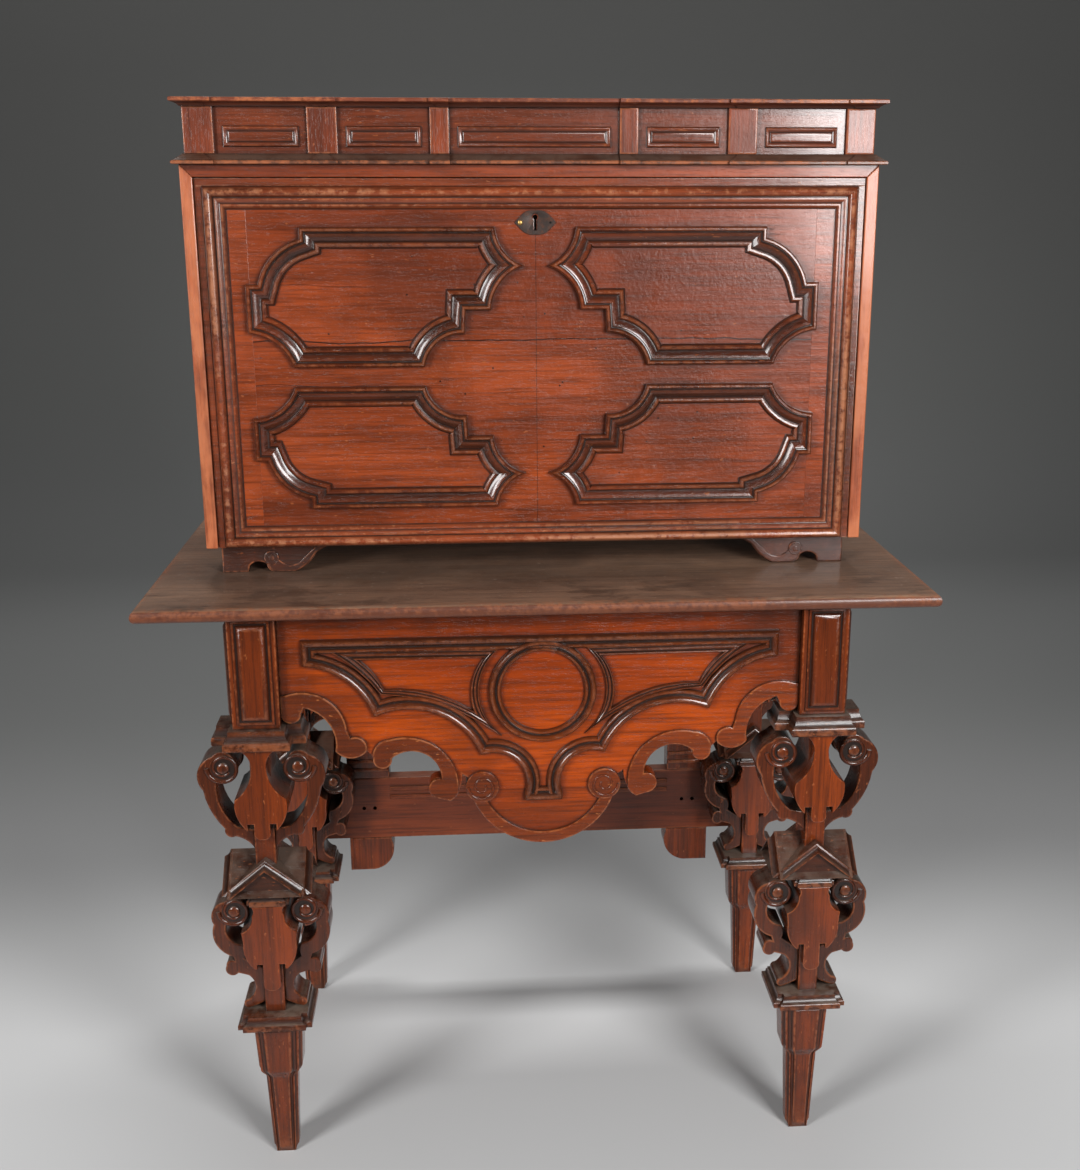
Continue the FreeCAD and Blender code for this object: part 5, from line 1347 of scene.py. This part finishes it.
plate = {"width": 0.056, "height": 0.031, "holeRadius": 0.0046, "slotWidth": 0.005, "slotLength": 0.017,
    "keyholeDrop": 0.05, "nailPlace": 0.36, "nailRadius": 0.0034, "nailHeight": 0.0018, "steps": 120}
escutcheonEdge = ((0.42, 0.92, 0.66, 0.62), (1, 0), (0.66, -0.62), (0.42, -0.92, 0, -1))
nailProfile = ((1, -0.2), (1, 0.1), (0.94, 0.45), (0.72, 0.8), (0.42, 0.96), (0.22, 1), (0.12, 0.86))


def holeReach(angle):
    # distance from the keyhole's middle to its edge
    dx, dz = math.sin(angle), math.cos(angle)
    reach = plate["holeRadius"]
    if dz < -1e-6:
        side = plate["slotWidth"] / 2 / max(abs(dx), 1e-6)
        reach = max(reach, min(side, -plate["slotLength"] / dz))
    return reach


def edgeReach(points, angle, middleZ):
    dx, dz = math.sin(angle), math.cos(angle)
    best = 0
    for (ax, az), (bx, bz) in zip(points, points[1:] + points[:1]):
        ex, ez = bx - ax, bz - az
        cross = dx * ez - dz * ex
        if abs(cross) < 1e-12:
            continue
        along = (ax * ez - (az - middleZ) * ex) / cross
        share = (ax * dz - (az - middleZ) * dx) / cross
        if along > 0 and -1e-9 <= share <= 1 + 1e-9:
            best = max(best, along)
    return best


def makeEscutcheon():
    back, front = span("escutcheon", 1)[::-1]
    centreZ = sum(span("escutcheon", 2)) / 2
    keyZ = span("fall_board", 2)[1] - plate["keyholeDrop"]
    points = wholeOutline(escutcheonEdge, plate["width"] / 2, plate["height"] / 2, 0, centreZ)
    slotAngle = math.atan2(plate["slotWidth"] / 2, plate["slotLength"])
    neckAngle = math.asin(plate["slotWidth"] / 2 / plate["holeRadius"])
    steps = plate["steps"]
    angles = sorted({round(2 * math.pi * k / steps, 6) for k in range(steps)}
                    | {round(math.pi + sign * a, 6) for a in (slotAngle, neckAngle) for sign in (-1, 1)})
    edge = [edgeReach(points, a, keyZ) for a in angles]
    hole = [holeReach(a) for a in angles]
    rings = []
    for reaches, share, grow, y, arris in (
            (edge, 1, 0, back, 0), (edge, 1, 0, front + 0.0005, 0.3), (edge, 0.985, 0, front, 1),
            (edge, 0.93, 0, front, 0.2), (hole, 1, 0.001, front, 0.6), (hole, 1, 0, front + 0.0004, 1),
            (hole, 1, 0, back, 0)):
        rings.append(([(math.sin(a) * (reach * share + grow), y, keyZ + math.cos(a) * (reach * share + grow))
                       for a, reach in zip(angles, reaches)], arris))
    lofted(rings, False).piece("escutcheonPlate", "iron", "escutcheon", "fall")
    levels = [(plate["nailRadius"] * across, front - out * plate["nailHeight"], 0.5)
              for across, out in nailProfile]
    nail = turnedRound((-plate["width"] * plate["nailPlace"], centreZ), levels, 28)
    nail.piece("escutcheonNail", "brass", "escutcheon_nail", "fall")
    print("escutcheon")


makeEscutcheon()


nest = {"front": 0.014, "margin": 0.014, "recess": 0.002, "wall": 0.008, "floor": 0.006,
    "knobRadius": 0.009, "knobLength": 0.016, "wallEase": (0.0006, 0.0008), "floorEase": (0.0004, 0.0004)}
knobProfile = ((0.5, 0), (0.52, 0.06), (0.42, 0.12), (0.38, 0.24), (0.4, 0.36), (0.62, 0.44), (0.86, 0.52),
    (1, 0.62), (0.99, 0.72), (0.86, 0.82), (0.84, 0.85), (0.66, 0.93), (0.36, 0.98), (0.12, 1))


def makeDrawer(node):
    low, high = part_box(node)
    front = low[1] + nest["knobLength"]
    start = front + nest["front"]
    x, z = (low[0], high[0]), (low[2], high[2])
    margin, recess, wall = nest["margin"], nest["recess"], nest["wall"]
    levels = ((0, nest["front"], 0, 0), (0, 0.0012, 1, 0), (0.0012, 0, 1, 0), (0.0026, 0, 0, 0),
              (margin, 0, 0.8, 0), (margin + 0.0006, recess, 0, 1),
              (2 * margin - 0.004, recess, 0, 0.4), (2 * margin, recess * 0.7, 0.4, 0.3),
              (2.5 * margin, 0, 1, 0), (2.5 * margin + 0.002, 0, 0, 0))
    shape = steppedPanel(x, z, front, [(inset, -back, *marks) for inset, back, *marks in levels])
    inner = (x[0] + wall, x[1] - wall)
    end = high[1] - wall
    for part, first in (((x[0], inner[0]), start), ((inner[1], x[1]), start), (inner, end)):
        shape.add(easedBox(part, (first, high[1]), z, *nest["wallEase"]))
    shape.add(easedBox(inner, (start, end), (z[0], z[0] + nest["floor"]), *nest["floorEase"]))
    levels = [(nest["knobRadius"] * across, front - along * nest["knobLength"], 0.3)
              for across, along in knobProfile]
    shape.add(turnedRound((sum(x) / 2, sum(z) / 2), levels, 32))
    shape.piece(node + "_joined", "nest", node, node)


for node in [name for name in nodes if name.startswith("drawer_")]:
    makeDrawer(node)
print("nest drawers")


view = {"place": (-0.09197, -2.10444, 1.38932), "pitch": 16.019, "yaw": 4.243, "focal": 1434.124,
    "centre": (575.835, 598.108), "frame": (1080, 1170), "sensor": 36, "furthest": 60}


def aimed(thing, way):
    thing.rotation_euler = Vector(way).to_track_quat("-Z", "Y").to_euler()


def makeCamera():
    data = bpy.data.cameras.new("camera")
    wide, high = view["frame"]
    data.sensor_width = view["sensor"]
    data.lens = view["sensor"] * view["focal"] / high
    data.shift_x = (wide / 2 - view["centre"][0]) / high
    data.shift_y = (view["centre"][1] - high / 2) / high
    data.clip_end = view["furthest"]
    pitch, yaw = math.radians(view["pitch"]), math.radians(view["yaw"])
    camera = linked("camera", data)
    camera.location = view["place"]
    aimed(camera, (math.sin(yaw) * math.cos(pitch), math.cos(yaw) * math.cos(pitch), -math.sin(pitch)))
    bpy.context.scene.camera = camera


lamps = (("rightSoftbox", (1.34, -2.5, 1.75), (0, 0, 0.9), (0.9, 1.3), 84),
    ("leftSoftbox", (-2.2, -2.2, 1.8), (0, 0, 0.9), (0.8, 1.5), 76),
    ("overhead", (0, 1.15, 3.3), (0, 0.1, 0.2), (1.8, 0.5), 56))
studio = {"halfWidth": 9, "front": -6, "bend": 3.2, "bendRadius": 2, "height": 7, "bendSteps": 24,
    "sky": (0.62, 0.62, 0.64, 1), "skyStrength": 0.06}


def makeStage():
    profile = [(studio["front"], 0), (studio["bend"], 0)]
    for step in range(1, studio["bendSteps"] + 1):
        angle = math.pi / 2 * step / studio["bendSteps"]
        profile.append((studio["bend"] + studio["bendRadius"] * math.sin(angle),
                        studio["bendRadius"] * (1 - math.cos(angle))))
    profile.append((profile[-1][0], studio["height"]))
    points = [(x, y, z) for y, z in profile for x in (-studio["halfWidth"], studio["halfWidth"])]
    mesh = bpy.data.meshes.new("studioFloor")
    mesh.from_pydata(points, [], [(2 * i, 2 * i + 1, 2 * i + 3, 2 * i + 2) for i in range(len(profile) - 1)])
    mesh.update()
    for face in mesh.polygons:
        face.use_smooth = True
    f = Finish("studio paper")
    depth, height = f.axis("Y"), f.axis("Z")
    side = f.axis("X").size() - depth * 0.4
    # the paper's tint is painted light: lighter in front of the piece, darker behind it, up the wall, far to
    # the front and to the sides
    colour = f.blend(depth.above(0, 0.8), (196, 196, 196), (142, 142, 142))
    for factor, shade in ((depth.above(0.8, 1.6), (132, 133, 132)), (depth.above(1.6, 2.7), (148, 149, 148)),
                          (height.above(0, 0.55), (143, 144, 142)), (height.above(0.4, 1.6), (138, 138, 136)),
                          (1 - depth.above(-1.5, -0.7), (84, 84, 84)), (side.above(1.1, 1.9), (84, 84, 84))):
        colour = f.blend(factor, colour, shade)
    mesh.materials.append(f.surface({"Base Color": colour, "Roughness": 0.9}))
    linked("studioFloor", mesh)


def makeLamp(name, place, target, size, power):
    data = bpy.data.lights.new(name, "AREA")
    data.shape = "RECTANGLE"
    data.size, data.size_y = size
    data.energy = power
    lamp = linked(name, data)
    lamp.location = place
    aimed(lamp, Vector(target) - Vector(place))


def makeLights():
    for lamp in lamps:
        makeLamp(*lamp)
    world = bpy.data.worlds.new("studio")
    world.use_nodes = True
    sky = world.node_tree.nodes["Background"].inputs
    sky["Color"].default_value = studio["sky"]
    sky["Strength"].default_value = studio["skyStrength"]
    bpy.context.scene.world = world


makeCamera()
makeStage()
makeLights()
bpy.context.scene.view_settings.view_transform = "Standard"
print("camera, floor and lights")
